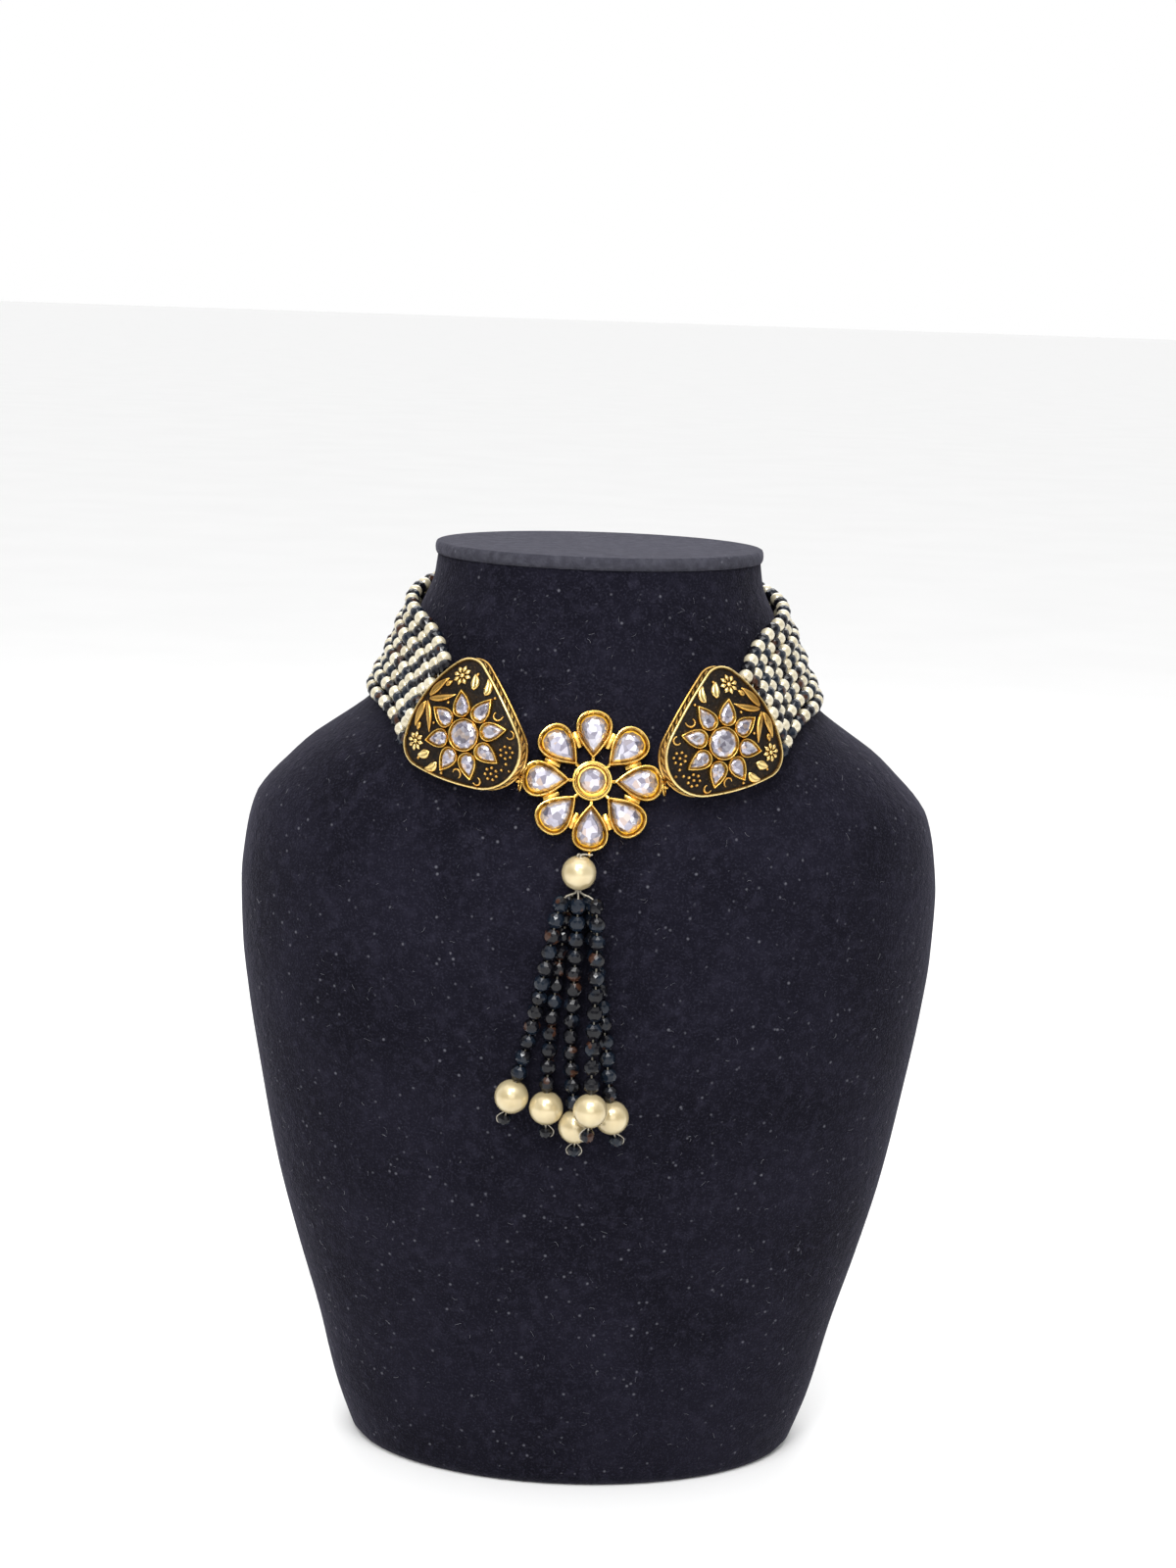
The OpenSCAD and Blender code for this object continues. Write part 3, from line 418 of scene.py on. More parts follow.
def metal(name, light, dark, worn, rough=(0.24, 0.4), grain=650, metallic=1.0):
    """Cast metal: a slow change of tone, duller spots and a fine grain."""
    n = Nodes(name, Metallic=metallic)
    base = n.mix(n.span(n.noise(140, 3), 0.35, 0.68), light, dark)
    n.color(n.mix(n.span(n.noise(900, 2), 0.6, 0.78), base, worn))
    n.rough(n.span(n.noise(grain, 3), 0.3, 0.7, *rough))
    n.bump(n.noise(grain, 3), 0.35, 0.00012)
    return n.material


def ground():
    """Dark brown ground of the cast plaques, with a pebbled skin and flecks of gold on its high points."""
    n = Nodes("dark_ground", Roughness=0.55, Specular_IOR_Level=0.15)
    base = n.mix(n.span(n.noise(500, 3), 0.35, 0.7), (0.003, 0.0018, 0.0012), (0.013, 0.007, 0.003))
    n.color(n.mix(n.span(n.noise(1500, 2), 0.64, 0.72, 0, 0.4), base, (0.13, 0.072, 0.02)))
    n.bump(n.cells(1300), 0.6, 0.0002)
    return n.material


def foiled_stone(name, tint, scale):
    """Clear stone over foil: lavender, grey and warm patches, sharply bounded as seen through the facets."""
    n = Nodes(name, Metallic=0.6, Roughness=0.1, Coat_Weight=1.0, Coat_Roughness=0.02, Specular_IOR_Level=0.8)
    split = n.tree.nodes.new("ShaderNodeSeparateColor")
    n.link(n.cells(scale, "Color"), split.inputs["Color"])
    base = n.mix(n.span(split.outputs["Red"], 0.1, 0.9), tint, (0.58, 0.57, 0.63))
    base = n.mix(n.span(split.outputs["Green"], 0.62, 0.75, 0, 0.75), base, (0.12, 0.105, 0.15))
    base = n.mix(n.span(split.outputs["Blue"], 0.8, 0.86, 0, 0.6), base, (0.50, 0.36, 0.26))
    n.color(base)
    n.bump(n.cells(scale), 0.35, 0.0003)
    return n.material


def pearl_lustre(name, light, dark):
    """A pearl's glossy coat over a slow change of tone."""
    n = Nodes(name, Roughness=0.26, Metallic=0.35, Coat_Weight=1.0, Coat_Roughness=0.09)
    n.color(n.mix(n.span(n.noise(180, 2), 0.35, 0.65), dark, light))
    n.bump(n.noise(700, 2), 0.08, 0.0001)
    return n.material


def black_glass():
    """Black faceted glass with a faint metallic film that turns blue on some beads and copper on others."""
    n = Nodes("black_bead", Roughness=0.1, Specular_IOR_Level=0.22, Coat_Weight=0.12, Coat_Roughness=0.03)
    base = n.mix(n.span(n.noise(130, 1), 0.45, 0.52), (0.006, 0.010, 0.018), (0.004, 0.004, 0.006))
    n.color(n.mix(n.span(n.noise(210, 1), 0.64, 0.68), base, (0.042, 0.018, 0.011)))
    n.bump(n.noise(1200, 1), 0.06, 0.0001)
    return n.material


def cotton():
    """Dull thread, its tone drawn out along its height."""
    n = Nodes("thread", Roughness=0.7, Sheen_Weight=0.2)
    n.color(n.mix(n.span(n.noise(1800, 2, (1, 1, 0.25)), 0.4, 0.65), (0.50, 0.46, 0.38), (0.30, 0.27, 0.21)))
    n.bump(n.noise(2500, 2), 0.5, 0.0001)
    return n.material


VELVET = velvet("velvet", 0.0)
# Velvet for the neck disc's top, painted pale: partly dust, partly painted sheen
DUST_AND_SHEEN_VELVET = velvet("dust_and_painted_sheen_velvet", 0.6)
GOLD = metal("gold", (0.88, 0.60, 0.17), (0.74, 0.45, 0.09), (0.44, 0.24, 0.05), (0.16, 0.3))
# Inner walls of the bezels: gold painted darker and oranger, as painted shade in the recess round each stone
INNER_WALL_PAINTED_SHADE = metal("gold_inner_wall_painted_shade", (0.60, 0.34, 0.035), (0.40, 0.20, 0.015), (0.22, 0.10, 0.01),
              (0.24, 0.4), 900)
ANTIQUE = metal("antique_gold", (0.72, 0.45, 0.13), (0.46, 0.25, 0.055), (0.16, 0.08, 0.02))
POLISHED = metal("antique_gold_polished", (0.90, 0.70, 0.32), (0.72, 0.50, 0.17), (0.36, 0.22, 0.06),
                 (0.2, 0.34))
AGED = metal("antique_gold_dark", (0.20, 0.105, 0.03), (0.09, 0.045, 0.014), (0.04, 0.02, 0.01),
             (0.4, 0.6), 800)
GROUND = ground()
STONE = foiled_stone("foiled_stone", (0.30, 0.285, 0.36), 560)
SMALL_STONE = foiled_stone("foiled_stone_small", (0.33, 0.31, 0.38), 800)
PEARL = pearl_lustre("pearl", (0.70, 0.64, 0.48), (0.58, 0.51, 0.35))
LARGE_PEARL = pearl_lustre("large_pearl", (0.62, 0.52, 0.31), (0.52, 0.42, 0.23))
BLACK = black_glass()
THREAD = cotton()


# Bust: the source's sections, joined by smooth curves

def smooth_column(k, shares):
    """The sections' column k on a smooth curve that doesn't swing past its rows."""
    x, y = SECTIONS[:, 0], SECTIONS[:, k]
    step, rise = np.diff(x), np.diff(y)
    slope = rise / step
    lean = np.zeros_like(y)
    same = slope[:-1] * slope[1:] > 0
    w0, w1 = 2 * step[1:] + step[:-1], step[1:] + 2 * step[:-1]
    lean[1:-1][same] = ((w0 + w1)[same]) / (w0[same] / slope[:-1][same] + w1[same] / slope[1:][same])
    lean[0], lean[-1] = slope[0], slope[-1]
    i = np.clip(np.searchsorted(x, shares) - 1, 0, len(x) - 2)
    t = (shares - x[i]) / step[i]
    return ((1 + 2 * t) * (1 - t) ** 2 * y[i] + t * (1 - t) ** 2 * step[i] * lean[i]
            + t * t * (3 - 2 * t) * y[i + 1] + t * t * (t - 1) * step[i] * lean[i + 1])


BUST_RINGS, BUST_SIDES = 110, 128


def bust_ring(w, front, rear, z, n=BUST_SIDES):
    a = np.arange(n) * math.tau / n
    depth = np.where(np.cos(a) > 0, front, rear)
    return np.column_stack([w * np.sin(a), -np.cos(a) * depth, np.full(n, float(z))])


def make_bust():
    shares = np.linspace(0, 1, BUST_RINGS)
    wide, front, rear = [smooth_column(k, shares) for k in (1, 2, 3)]
    end_w = np.where(shares < SHOULDER, BASE_W, NECK_W)
    half = (end_w + (SHOULDER_W - end_w) * wide) / 2
    rings = [bust_ring(half[0] - 3, front[0] * CHEST_D - 3, rear[0] * BACK_D - 3, 0),
             bust_ring(half[0] - 0.8, front[0] * CHEST_D - 0.8, rear[0] * BACK_D - 0.8, 0.6)]
    for i in range(1, BUST_RINGS):
        rings.append(bust_ring(half[i], front[i] * CHEST_D, rear[i] * BACK_D, shares[i] * BUST_H))
    shape = Shape()
    shape.loft(rings)
    shape.piece("velvet_bust", [VELVET], "velvet", ["bust_body"], crease=60)


# Rounded edge of the disc: share of the lip, share of the thickness
DISC_EDGE = [(0.0, 0.02), (0.55, 0.06), (0.9, 0.25), (1.0, 0.5), (0.9, 0.75), (0.6, 0.93), (0.1, 1.0)]


def make_neck_disc():
    """A padded board covered in velvet: a rounded edge and a faintly sunken, uneven top."""
    a = np.arange(BUST_SIDES) * math.tau / BUST_SIDES
    rough = 0.12 * np.sin(5 * a + 1) + 0.1 * np.sin(11 * a) + 0.07 * np.sin(23 * a + 2)
    base = bust_ring(NECK_W / 2, front_d(BUST_H), rear_d(BUST_H), 0)
    way = np.column_stack([np.sin(a), -np.cos(a), np.zeros_like(a)])
    rings = []
    for lip, high in DISC_EDGE:
        ring = base + way * ((DISC_LIP + 0.2) * (lip - 0.1) + rough * lip)[:, None]
        ring[:, 2] = BUST_H + DISC_T * high
        rings.append(ring)
    for share in (0.985, 0.95, 0.85, 0.6, 0.3, 0.02):
        ring = rings[len(DISC_EDGE) - 1] * [share, share, 1]
        ring[:, 2] -= 0.35 * (1 - share) ** 0.5
        rings.append(ring)
    shape = Shape()
    shape.loft(rings)
    shape.piece("velvet_neck_disc", [DUST_AND_SHEEN_VELVET], "velvet", ["neck_disc"])


LINT = metal("lint", (0.24, 0.24, 0.27), (0.12, 0.12, 0.15), (0.32, 0.32, 0.34), (0.8, 0.95), 900, 0.0)
LINT_LOW, LINT_HIGH, LINT_STEPS = 12, 280, 5
BUST_EDGE = 284


def make_lint(count=1300):
    """Short fibres caught in the velvet."""
    rng = random.Random(7)
    shape = Shape()
    for _ in range(count):
        a, z = rng.uniform(-180, 180), rng.uniform(LINT_LOW, LINT_HIGH)
        way, bend, long = rng.uniform(0, 360), rng.uniform(-90, 90), rng.uniform(0.4, 2.2)
        line, p = [], seat(a, z)[:3, 3]
        for i in range(LINT_STEPS):
            m = seat(angle_of(p), min(p[2], BUST_EDGE), 0.12)
            line.append(m[:3, 3])
            b = way + bend * i / 4
            p = m[:3, 3] + (m[:3, 0] * cosd(b) + m[:3, 1] * sind(b)) * long / 4
        tube(shape, line, rng.uniform(0.04, 0.08), 3)
    shape.piece("velvet_lint", [LINT], "velvet")


# Bezels and stones

# Rows of a bezel: how far in from its outline, as a share of the way to the stone, and how high, as a
# share of its height, with the mark of the band above the row. Mark 1, on the inner slope, takes the darker
# gold of painted shade in the recess round the stone
BEZEL = [(0.0, 0.0, 0), (0.0, 0.72, 0), (0.04, 0.9, 0), (0.16, 0.99, 0), (0.27, 1.0, 0), (0.37, 0.95, 0),
         (0.44, 0.84, 1), (0.62, 0.64, 1), (0.8, 0.5, 1)]


def bezel(shape, outline, wall, height, m, lie=None, flare=0.0):
    """A collar of metal round a stone. lie bends a ring of points onto what the bezel stands on."""
    rings = []
    for i, (way, high, _) in enumerate(BEZEL):
        ring = flat(inset(outline, wall * way - (flare if i == 0 else 0)), height * high)
        rings.append(lie(ring) if lie else ring)
    shape.loft(rings, [mark for _, _, mark in BEZEL[:-1]], m)


def stone(shape, outline, low, high, m, lie=None, facets=12, table=0.58):
    """A foiled stone: a girdle, two rings of facets turned by half a step, and a flat table."""
    step = len(outline) // facets
    girdle = outline[::step][:facets]
    half = outline[step // 2::step][:facets]
    middle = (table + 1) / 2 * 1.04
    rise = high - low
    rings = [flat(girdle, low), flat(girdle, low + rise * 0.25), flat(half * middle, low + rise * 0.7),
             flat(girdle * table, high)]
    if lie:
        rings = [lie(r) for r in rings]
    n = facets
    faces = []
    for j in range(n):
        k = (j + 1) % n
        faces.append((j, k, n + k, n + j))
        faces.append((n + j, n + k, 2 * n + j))
        faces.append((n + k, 2 * n + k, 2 * n + j))
        faces.append((2 * n + j, 3 * n + k, 3 * n + j))
        faces.append((2 * n + j, 2 * n + k, 3 * n + k))
    faces.append(tuple(range(n - 1, -1, -1)))
    faces.append(tuple(range(3 * n, 4 * n)))
    shape.add(np.concatenate(rings), faces, 0, m)


def lug(shape, m):
    """A flat ring with rounded edges."""
    r, hole, t = LUG_D / 2, LUG_HOLE_D / 2, LUG_T / 2
    rows = [(r - 0.05, -t), (r, -t + 0.1), (r, t - 0.1), (r - 0.05, t), (hole + 0.05, t), (hole, t - 0.1),
            (hole, -t + 0.1), (hole + 0.05, -t), (r - 0.05, -t)]
    shape.loft([flat(ring_of(2 * radius, 24), z) for radius, z in rows], 0, m, caps=(False, False))


def bar(shape, line, width, height, m):
    """A bead of solder: a low rounded bar from the floor up."""
    line = np.asarray(line, float)
    along = unit(line[-1] - line[0])
    across = np.array([-along[1], along[0]])
    rings = []
    for p, grow in zip(line, [0.75] + [1.0] * (len(line) - 2) + [0.75]):
        ring = [(p + across * width / 2 * x * grow, height * z * grow) for x, z in
                [(-1, 0), (-0.95, 0.6), (-0.6, 0.93), (0, 1), (0.6, 0.93), (0.95, 0.6), (1, 0)]]
        rings.append([[q[0], q[1], z] for q, z in ring][::-1])
    shape.loft(rings, 0, m)


# Flower

FLOWER = seat(0, FLOWER_Z, FLOWER_LIFT) @ turn_z(-FLOWER_TURN)
PETAL_FRAMES = [FLOWER @ turn_z(-k * 360 / PETALS) @ shift(y=PETAL_MID) @ turn_z(180) for k in range(PETALS)]
FLOWER_LUGS = [(-90, -10, FLOWER_T * 0.64), (90, 10, FLOWER_T * 0.64), (180, 0, LUG_D / 2 + 0.05)]


def make_flower():
    """Nine bezels with their stones, joined by short bars, and the three lugs."""
    metalwork, stones = Shape(), Shape()
    wall = (PETAL_W - PETAL_STONE_W) / 2
    outline = pear(PETAL_W, PETAL_L, 48)
    inner = pear(PETAL_STONE_W + PETAL_STONE_GROWTH * wall, PETAL_L - PETAL_STONE_INSET * wall, 48)
    for m in PETAL_FRAMES:
        bezel(metalwork, outline, wall, FLOWER_T, m)
        stone(stones, inner, FLOWER_T * 0.42, FLOWER_T * 0.93, m)
    # The middle bezel stands on a lower collar
    hub = HUB_D - 1.2
    bezel(metalwork, ring_of(hub), (hub - HUB_STONE_D) / 2, FLOWER_T, FLOWER)
    collar = [(HUB_D, 0), (HUB_D, 1.5), (HUB_D - 0.3, 1.9), (HUB_D - 1.3, 2.0)]
    metalwork.loft([flat(ring_of(d), z) for d, z in collar], 0, FLOWER)
    stone(stones, ring_of(HUB_STONE_D + HUB_STONE_GROWTH, 48), FLOWER_T * 0.42, FLOWER_T * 0.95, FLOWER)
    for k in range(PETALS):
        m = FLOWER @ turn_z(-k * 360 / PETALS)
        spoke = (HUB_D / 2 - 0.6, PETAL_MID - PETAL_L * 0.45, PETAL_MID - PETAL_L * 0.38)
        bar(metalwork, [(0, y) for y in spoke], 1.5, 1.9, m)
        between = FLOWER @ turn_z(-(k + 0.5) * 360 / PETALS)
        bar(metalwork, [(0, PETAL_MID + y) for y in (-3.2, -1.5, 0.3, 1.6)], 1.9, 2.2, between)
    for side, droop, rise in FLOWER_LUGS:
        m = FLOWER @ turn_z(side) @ shift(0, PETAL_END, rise)
        m = m @ turn_z(droop) @ shift(y=PETAL_W / 2 + LUG_REACH)
        lug(metalwork, m @ framed([0, 1, 0], [0, 0, 1], [1, 0, 0], [0, 0, 0]))
    metalwork.piece("flower_bezels", [GOLD, INNER_WALL_PAINTED_SHADE], "gold", ["flower_setting"], crease=38)
    nodes = ["flower_center_stone"] + [f"flower_petal_stone_{k}" for k in range(1, PETALS + 1)]
    stones.piece("flower_stones", [STONE], "stone", nodes, smooth=False)


# Plaques: each one's own origin is the middle of its centre stone, apex up

PLAQUE_N = np.array([cosd(PLAQUE_LEAN) * sind(PLAQUE_YAW), -cosd(PLAQUE_LEAN) * cosd(PLAQUE_YAW),
                     sind(PLAQUE_LEAN)])
PLAQUE_X = unit(np.cross([0, 0, 1], PLAQUE_N))
PLAQUE = framed(PLAQUE_X, np.cross(PLAQUE_N, PLAQUE_X), PLAQUE_N, PLAQUE_ORIGIN) @ turn_z(PLAQUE_TURN)
CORNER_X = PLAQUE_W / 2 - CORNER_R
CORNER_Y = -PLAQUE_LOW + BASE_SAG + CORNER_R
APEX_Y = PLAQUE_TOP - APEX_R
SIDE_NORMAL = math.degrees(math.atan2(CORNER_Y - APEX_Y, CORNER_X)
                           + math.acos((APEX_R - CORNER_R) / math.hypot(CORNER_X, APEX_Y - CORNER_Y)))
WALL_BACK = RIM_H - PLAQUE_T


def arc(c, r, a0, a1, steps):
    return [(c[0] + r * cosd(a), c[1] + r * sind(a)) for a in np.linspace(a0, a1, steps + 1)]


def bowed(p, ap, q, aq, steps):
    """The points between p and q on a curve that leaves them square to the angles ap and aq."""
    p, q = np.array(p), np.array(q)
    h = np.linalg.norm(q - p) / 3
    a = p + h * np.array([-sind(ap), cosd(ap)])
    b = q - h * np.array([-sind(aq), cosd(aq)])
    out = []
    for t in np.linspace(0, 1, steps + 1)[1:-1]:
        u = 1 - t
        out.append(tuple(u ** 3 * p + 3 * u * u * t * a + 3 * u * t * t * b + t ** 3 * q))
    return out


def plaque_outline(d=0.0, steps=14):
    """Round apex, bowed sides and base, and two round corners, all moved inwards by d."""
    n, m = SIDE_NORMAL, 180 - SIDE_NORMAL
    top = arc((0, APEX_Y), APEX_R - d, n + SIDE_BOW, m - SIDE_BOW, steps)
    left = arc((-CORNER_X, CORNER_Y), CORNER_R - d, m + SIDE_BOW, 270 - BASE_BOW, steps)
    right = arc((CORNER_X, CORNER_Y), CORNER_R - d, 270 + BASE_BOW, 360 + n - SIDE_BOW, steps)
    points = (top + bowed(top[-1], m - SIDE_BOW, left[0], m + SIDE_BOW, steps)
              + left + bowed(left[-1], 270 - BASE_BOW, right[0], 270 + BASE_BOW, steps)
              + right + bowed(right[-1], 360 + n - SIDE_BOW, top[0], 360 + n + SIDE_BOW, steps))
    return np.array(points)


def on_dome(points):
    """Lays points on the dome, their Z being their height above it."""
    points = np.array(points, float)
    above = DOME_R + points[:, 2]
    points[:, 2] = np.sqrt(above ** 2 - points[:, 0] ** 2 - points[:, 1] ** 2) - DOME_R
    return points


# Cross-section of raised ornament: place across, height
ROUND = [(-1, 0), (-0.93, 0.4), (-0.68, 0.78), (-0.3, 0.97), (0, 1), (0.3, 0.97), (0.68, 0.78), (0.93, 0.4),
         (1, 0)]
VEINED = [(-1, 0), (-0.93, 0.45), (-0.6, 0.95), (-0.25, 0.85), (0, 0.62), (0.25, 0.85), (0.6, 0.95),
          (0.93, 0.45), (1, 0)]
RELIEF_BASE = 0.1


def ridge(shape, spine, wide, high, m, section=ROUND, mark=0):
    """Raised ornament along a flat spine, on the dome. wide and high are given for each of its points."""
    spine = np.asarray(spine, float)
    rings = []
    for i, p in enumerate(spine):
        t = unit(spine[min(i + 1, len(spine) - 1)] - spine[max(i - 1, 0)])
        across = np.array([-t[1], t[0]])
        rings.append([[*(p - across * x * wide[i]), RELIEF_BASE + z * high[i]] for x, z in section])
    n = len(section)
    points = on_dome(np.concatenate([np.array(r) for r in rings]))
    faces, marks = [], []
    for i in range(len(rings) - 1):
        for j in range(n - 1):
            faces.append((i * n + j, (i + 1) * n + j, (i + 1) * n + j + 1, i * n + j + 1))
            marks.append(mark if 0 < j < n - 2 else 1)
    shape.add(points, faces, marks, m)


def on_plate(u, v):
    return np.array([u * PLAQUE_W / 2, v * PLAQUE_H / 2])


def leaf(shape, root, direction, length, width, bend, m, s, mark):
    t = np.linspace(0, 1, 13)
    a = np.radians(direction + bend * t)
    spine = np.array(root) + np.column_stack([length * t * np.cos(a), length * t * np.sin(a)])
    wide = width * 0.58 * np.sin(np.pi * t ** 0.8) + 0.14
    high = RELIEF_H * (0.35 + 0.65 * np.sin(np.pi * np.clip(t ** 0.8, 0.02, 0.98)) ** 0.6)
    high[0] = high[-1] = 0.05
    spine[:, 0] *= s
    if s < 0:
        spine, wide, high = spine[::-1], wide[::-1], high[::-1]
    ridge(shape, spine, wide, high, m, VEINED if width > 1.9 else ROUND, mark=mark)


def dot(shape, c, r, m, high=0.75, mark=0):
    t = np.linspace(-1, 1, 9)
    wide = r * np.sqrt(np.clip(1 - t * t, 0.0004, 1))
    ridge(shape, np.array(c) + np.column_stack([r * t, 0 * t]), wide, high * wide / r, m, mark=mark)


def daisy(shape, c, r, m, mark):
    dot(shape, c, r * 0.27, m, RELIEF_H, mark)
    for k in range(8):
        a = (k + 0.5) * 45
        t = np.linspace(0, 1, 8)
        way = np.array([cosd(a), sind(a)])
        spine = np.array(c) + np.outer(r * (0.3 + 0.7 * t), way)
        wide = r * 0.23 * np.sin(np.pi * np.clip(t, 0.03, 0.97) ** 1.3) + 0.06
        high = RELIEF_H * 0.95 * np.sin(np.pi * np.clip(t, 0.04, 0.96)) ** 0.45
        ridge(shape, spine, wide, high, m, mark=mark)


def scroll(shape, c, r, a0, sweep, m, s):
    t = np.linspace(0, 1, 15)
    a = np.radians(a0 + sweep * t)
    spine = np.array(c) + r * np.column_stack([np.cos(a), np.sin(a)]) * (1 - 0.25 * t)[:, None]
    wide = 0.34 * np.sin(np.pi * np.clip(t, 0.05, 0.95)) ** 0.3
    spine[:, 0] *= s
    if s < 0:
        spine = spine[::-1]
        wide = wide[::-1]
    ridge(shape, spine, wide, RELIEF_H * 0.8 * wide / 0.34, m)


def plaque_relief(shape, m):
    """Both halves of the cast ornament. Mark 0 is plain, 1 its dark flanks and 2 what is polished."""
    for s in (1, -1):
        x, y = on_plate(*DAISY[:2])
        daisy(shape, (s * x, y), DAISY[2], m, 2)
        for i, (u, v, direction, length, width, bend) in enumerate(LEAVES):
            leaf(shape, on_plate(u, v), direction, length, width, bend, m, s, 2 if i in (2, 3) else 0)
        for u, v, r, a0, sweep in SCROLLS:
            scroll(shape, on_plate(u, v), r, a0, sweep, m, s)
        for u, v in DOTS:
            dot(shape, on_plate(s * u, v), DOT_R, m)
        x, y = on_plate(*CLUSTER)
        dot(shape, (s * x, y), DOT_R, m)
        for k in range(CLUSTER_DOTS):
            a = k * 360 / CLUSTER_DOTS
            dot(shape, (s * (x + CLUSTER_R * cosd(a)), y + CLUSTER_R * sind(a)), DOT_R, m)


# Rows of the rim wall: how far in from the outline, height above the ground, mark of the band above.
# Mark 0 is antique gold, 1 its dark hollows and 2 the polished rim.
WALL = [(RIM_W, -PLATE_T, 1), (RIM_W, WALL_BACK + 0.1, 1), (RIM_W - 0.15, WALL_BACK, 0), (0.15, WALL_BACK, 0),
        (0.03, WALL_BACK + 0.15, 0), (0.03, WALL_BACK + 0.6, 0), (0.3, WALL_BACK + 0.75, 1), (0.3, -0.25, 1),
        (0.03, -0.1, 0), (0.0, 0.3, 0), (0.05, 0.66, 2), (0.22, RIM_H - 0.04, 2), (0.42, RIM_H, 2),
        (0.66, RIM_H - 0.08, 0), (0.82, 0.5, 1), (RIM_W, GROUND_T * 0.6, 1)]
WALL_LEAF, WALL_LEAF_STEPS = 2.5, 7


def wall_ornament(shape, m):
    """Slanting leaves in the channel round the outside of the wall."""
    outline = plaque_outline(0.3, 40)
    loop = np.vstack([outline, outline[:1]])
    run = np.concatenate([[0], np.cumsum(np.linalg.norm(np.diff(loop, axis=0), axis=1))])
    count = int(run[-1] / WALL_LEAF)
    low, high = WALL_BACK + 0.85, -0.3

    def on_loop(s):
        s = s % run[-1]
        return np.array([np.interp(s, run, loop[:, 0]), np.interp(s, run, loop[:, 1])])

    for i in range(count):
        rings = []
        for t in np.linspace(0, 1, WALL_LEAF_STEPS):
            s = (i + 0.15 + 0.95 * t) / count * run[-1] % run[-1]
            c = on_loop(s)
            along = unit(on_loop(s + 0.4) - c)
            out = np.array([along[1], -along[0]])
            mid = low + (high - low) * (0.22 + 0.56 * t)
            wide = 0.62 * math.sin(math.pi * min(max(t, 0.06), 0.94))
            ring = []
            for x, z in ROUND:
                p = c + out * (0.26 * z * math.sin(math.pi * min(max(t, 0.1), 0.9)) ** 0.5 - 0.03)
                ring.append([p[0], p[1], mid + x * wide])
            rings.append(ring)
        n = len(ROUND)
        points = on_dome(np.concatenate([np.array(r) for r in rings]))
        faces = [(a * n + b, a * n + b + 1, (a + 1) * n + b + 1, (a + 1) * n + b)
                 for a in range(WALL_LEAF_STEPS - 1) for b in range(n - 1)]
        shape.add(points, faces, 0, m)


def make_plaque(side):
    """The wall with its lug, the ground, the relief, and the bezels with their stones."""
    mirror = side == "left"
    wall, relief, bezels, stones, dark = [Shape() for _ in range(5)]
    rings = [on_dome(flat(plaque_outline(d), z)) for d, z, _ in WALL]
    wall.loft(rings, [mark for _, _, mark in WALL[:-1]], PLAQUE, caps=(True, False))
    wall_ornament(wall, PLAQUE)
    c = np.array([cosd(PLAQUE_LUG_TURN), sind(PLAQUE_LUG_TURN)])
    p = np.array([0, APEX_Y]) + (APEX_R + LUG_REACH) * c
    lug_z = on_dome([[p[0], p[1], WALL_BACK]])[0][2] + LUG_D / 2 + 0.05
    lug(wall, PLAQUE @ shift(p[0], p[1], lug_z))
    cast, node = [ANTIQUE, AGED, POLISHED], [f"plaque_{side}"]
    wall.piece(f"plaque_wall_{side}", cast, "antique_gold", node, mirror=mirror, crease=35)
    rim = plaque_outline(RIM_W - 0.1)
    rings = [on_dome(flat(rim * share, GROUND_T * 0.6)) for share in (1, 0.85, 0.7, 0.55, 0.4, 0.25, 0.1)]
    dark.loft(rings, 0, PLAQUE, caps=(False, True))
    dark.piece(f"plaque_ground_{side}", [GROUND], "enamel", [f"enamel_{side}"], mirror=mirror)
    plaque_relief(relief, PLAQUE)
    relief.piece(f"plaque_relief_{side}", cast, "antique_gold", node, mirror=mirror)
    bezel(bezels, ring_of(BOSS_D), BEZEL_W, BEZEL_H, PLAQUE, on_dome, 0.2)
    boss = ring_of(BOSS_D - BOSS_STONE_INSET * BEZEL_W, 48)
    stone(stones, boss, BEZEL_H * 0.45, BEZEL_H + 0.25, PLAQUE, on_dome, 12, 0.62)
    stones.piece(f"plaque_center_stone_{side}_cut", [SMALL_STONE], "stone", [f"plaque_center_stone_{side}"],
                 smooth=False, mirror=mirror)
    small = Shape()
    for k in range(8):
        m = turn_z(k * 45) @ shift(y=RAY_MID)

        def lie(ring, m=m):
            return on_dome(placed(m, ring))

        bezel(bezels, pear(RAY_W, RAY_L), BEZEL_W, BEZEL_H * 0.95, PLAQUE, lie, 0.15)
        inner = pear(RAY_W - RAY_STONE_INSET * BEZEL_W, RAY_L - RAY_STONE_END * BEZEL_W)
        inner = inner + [0, -0.25 * BEZEL_W]
        stone(small, inner, BEZEL_H * 0.42, BEZEL_H + 0.05, PLAQUE, lie, 10, 0.55)
    bezels.piece(f"plaque_bezels_{side}", [GOLD, INNER_WALL_PAINTED_SHADE], "antique_gold", node, mirror=mirror, crease=38)
    small.piece(f"plaque_petal_stones_{side}_cut", [SMALL_STONE], "stone", [f"plaque_petal_stones_{side}"],
                smooth=False, mirror=mirror)


# Beads

BORE_R = THREAD_D / 2 + BORE_GAP


def ball(d, bore, sides=22, rows=13):
    """Points and faces of a drilled ball whose hole runs along Z."""
    start = math.asin(bore / (d / 2))
    angles = np.linspace(start, math.pi - start, rows)
    rings = [flat(ring_of(2 * bore * 0.9, sides), d / 2 * math.cos(start) * 0.9)]
    rings += [flat(ring_of(d * math.sin(a), sides), d / 2 * math.cos(a)) for a in angles]
    rings.append(flat(ring_of(2 * bore * 0.9, sides), -d / 2 * math.cos(start) * 0.9))
    shape = Shape()
    shape.loft(rings[::-1], 0, None, caps=(False, False))
    return np.concatenate(shape.points), shape.faces


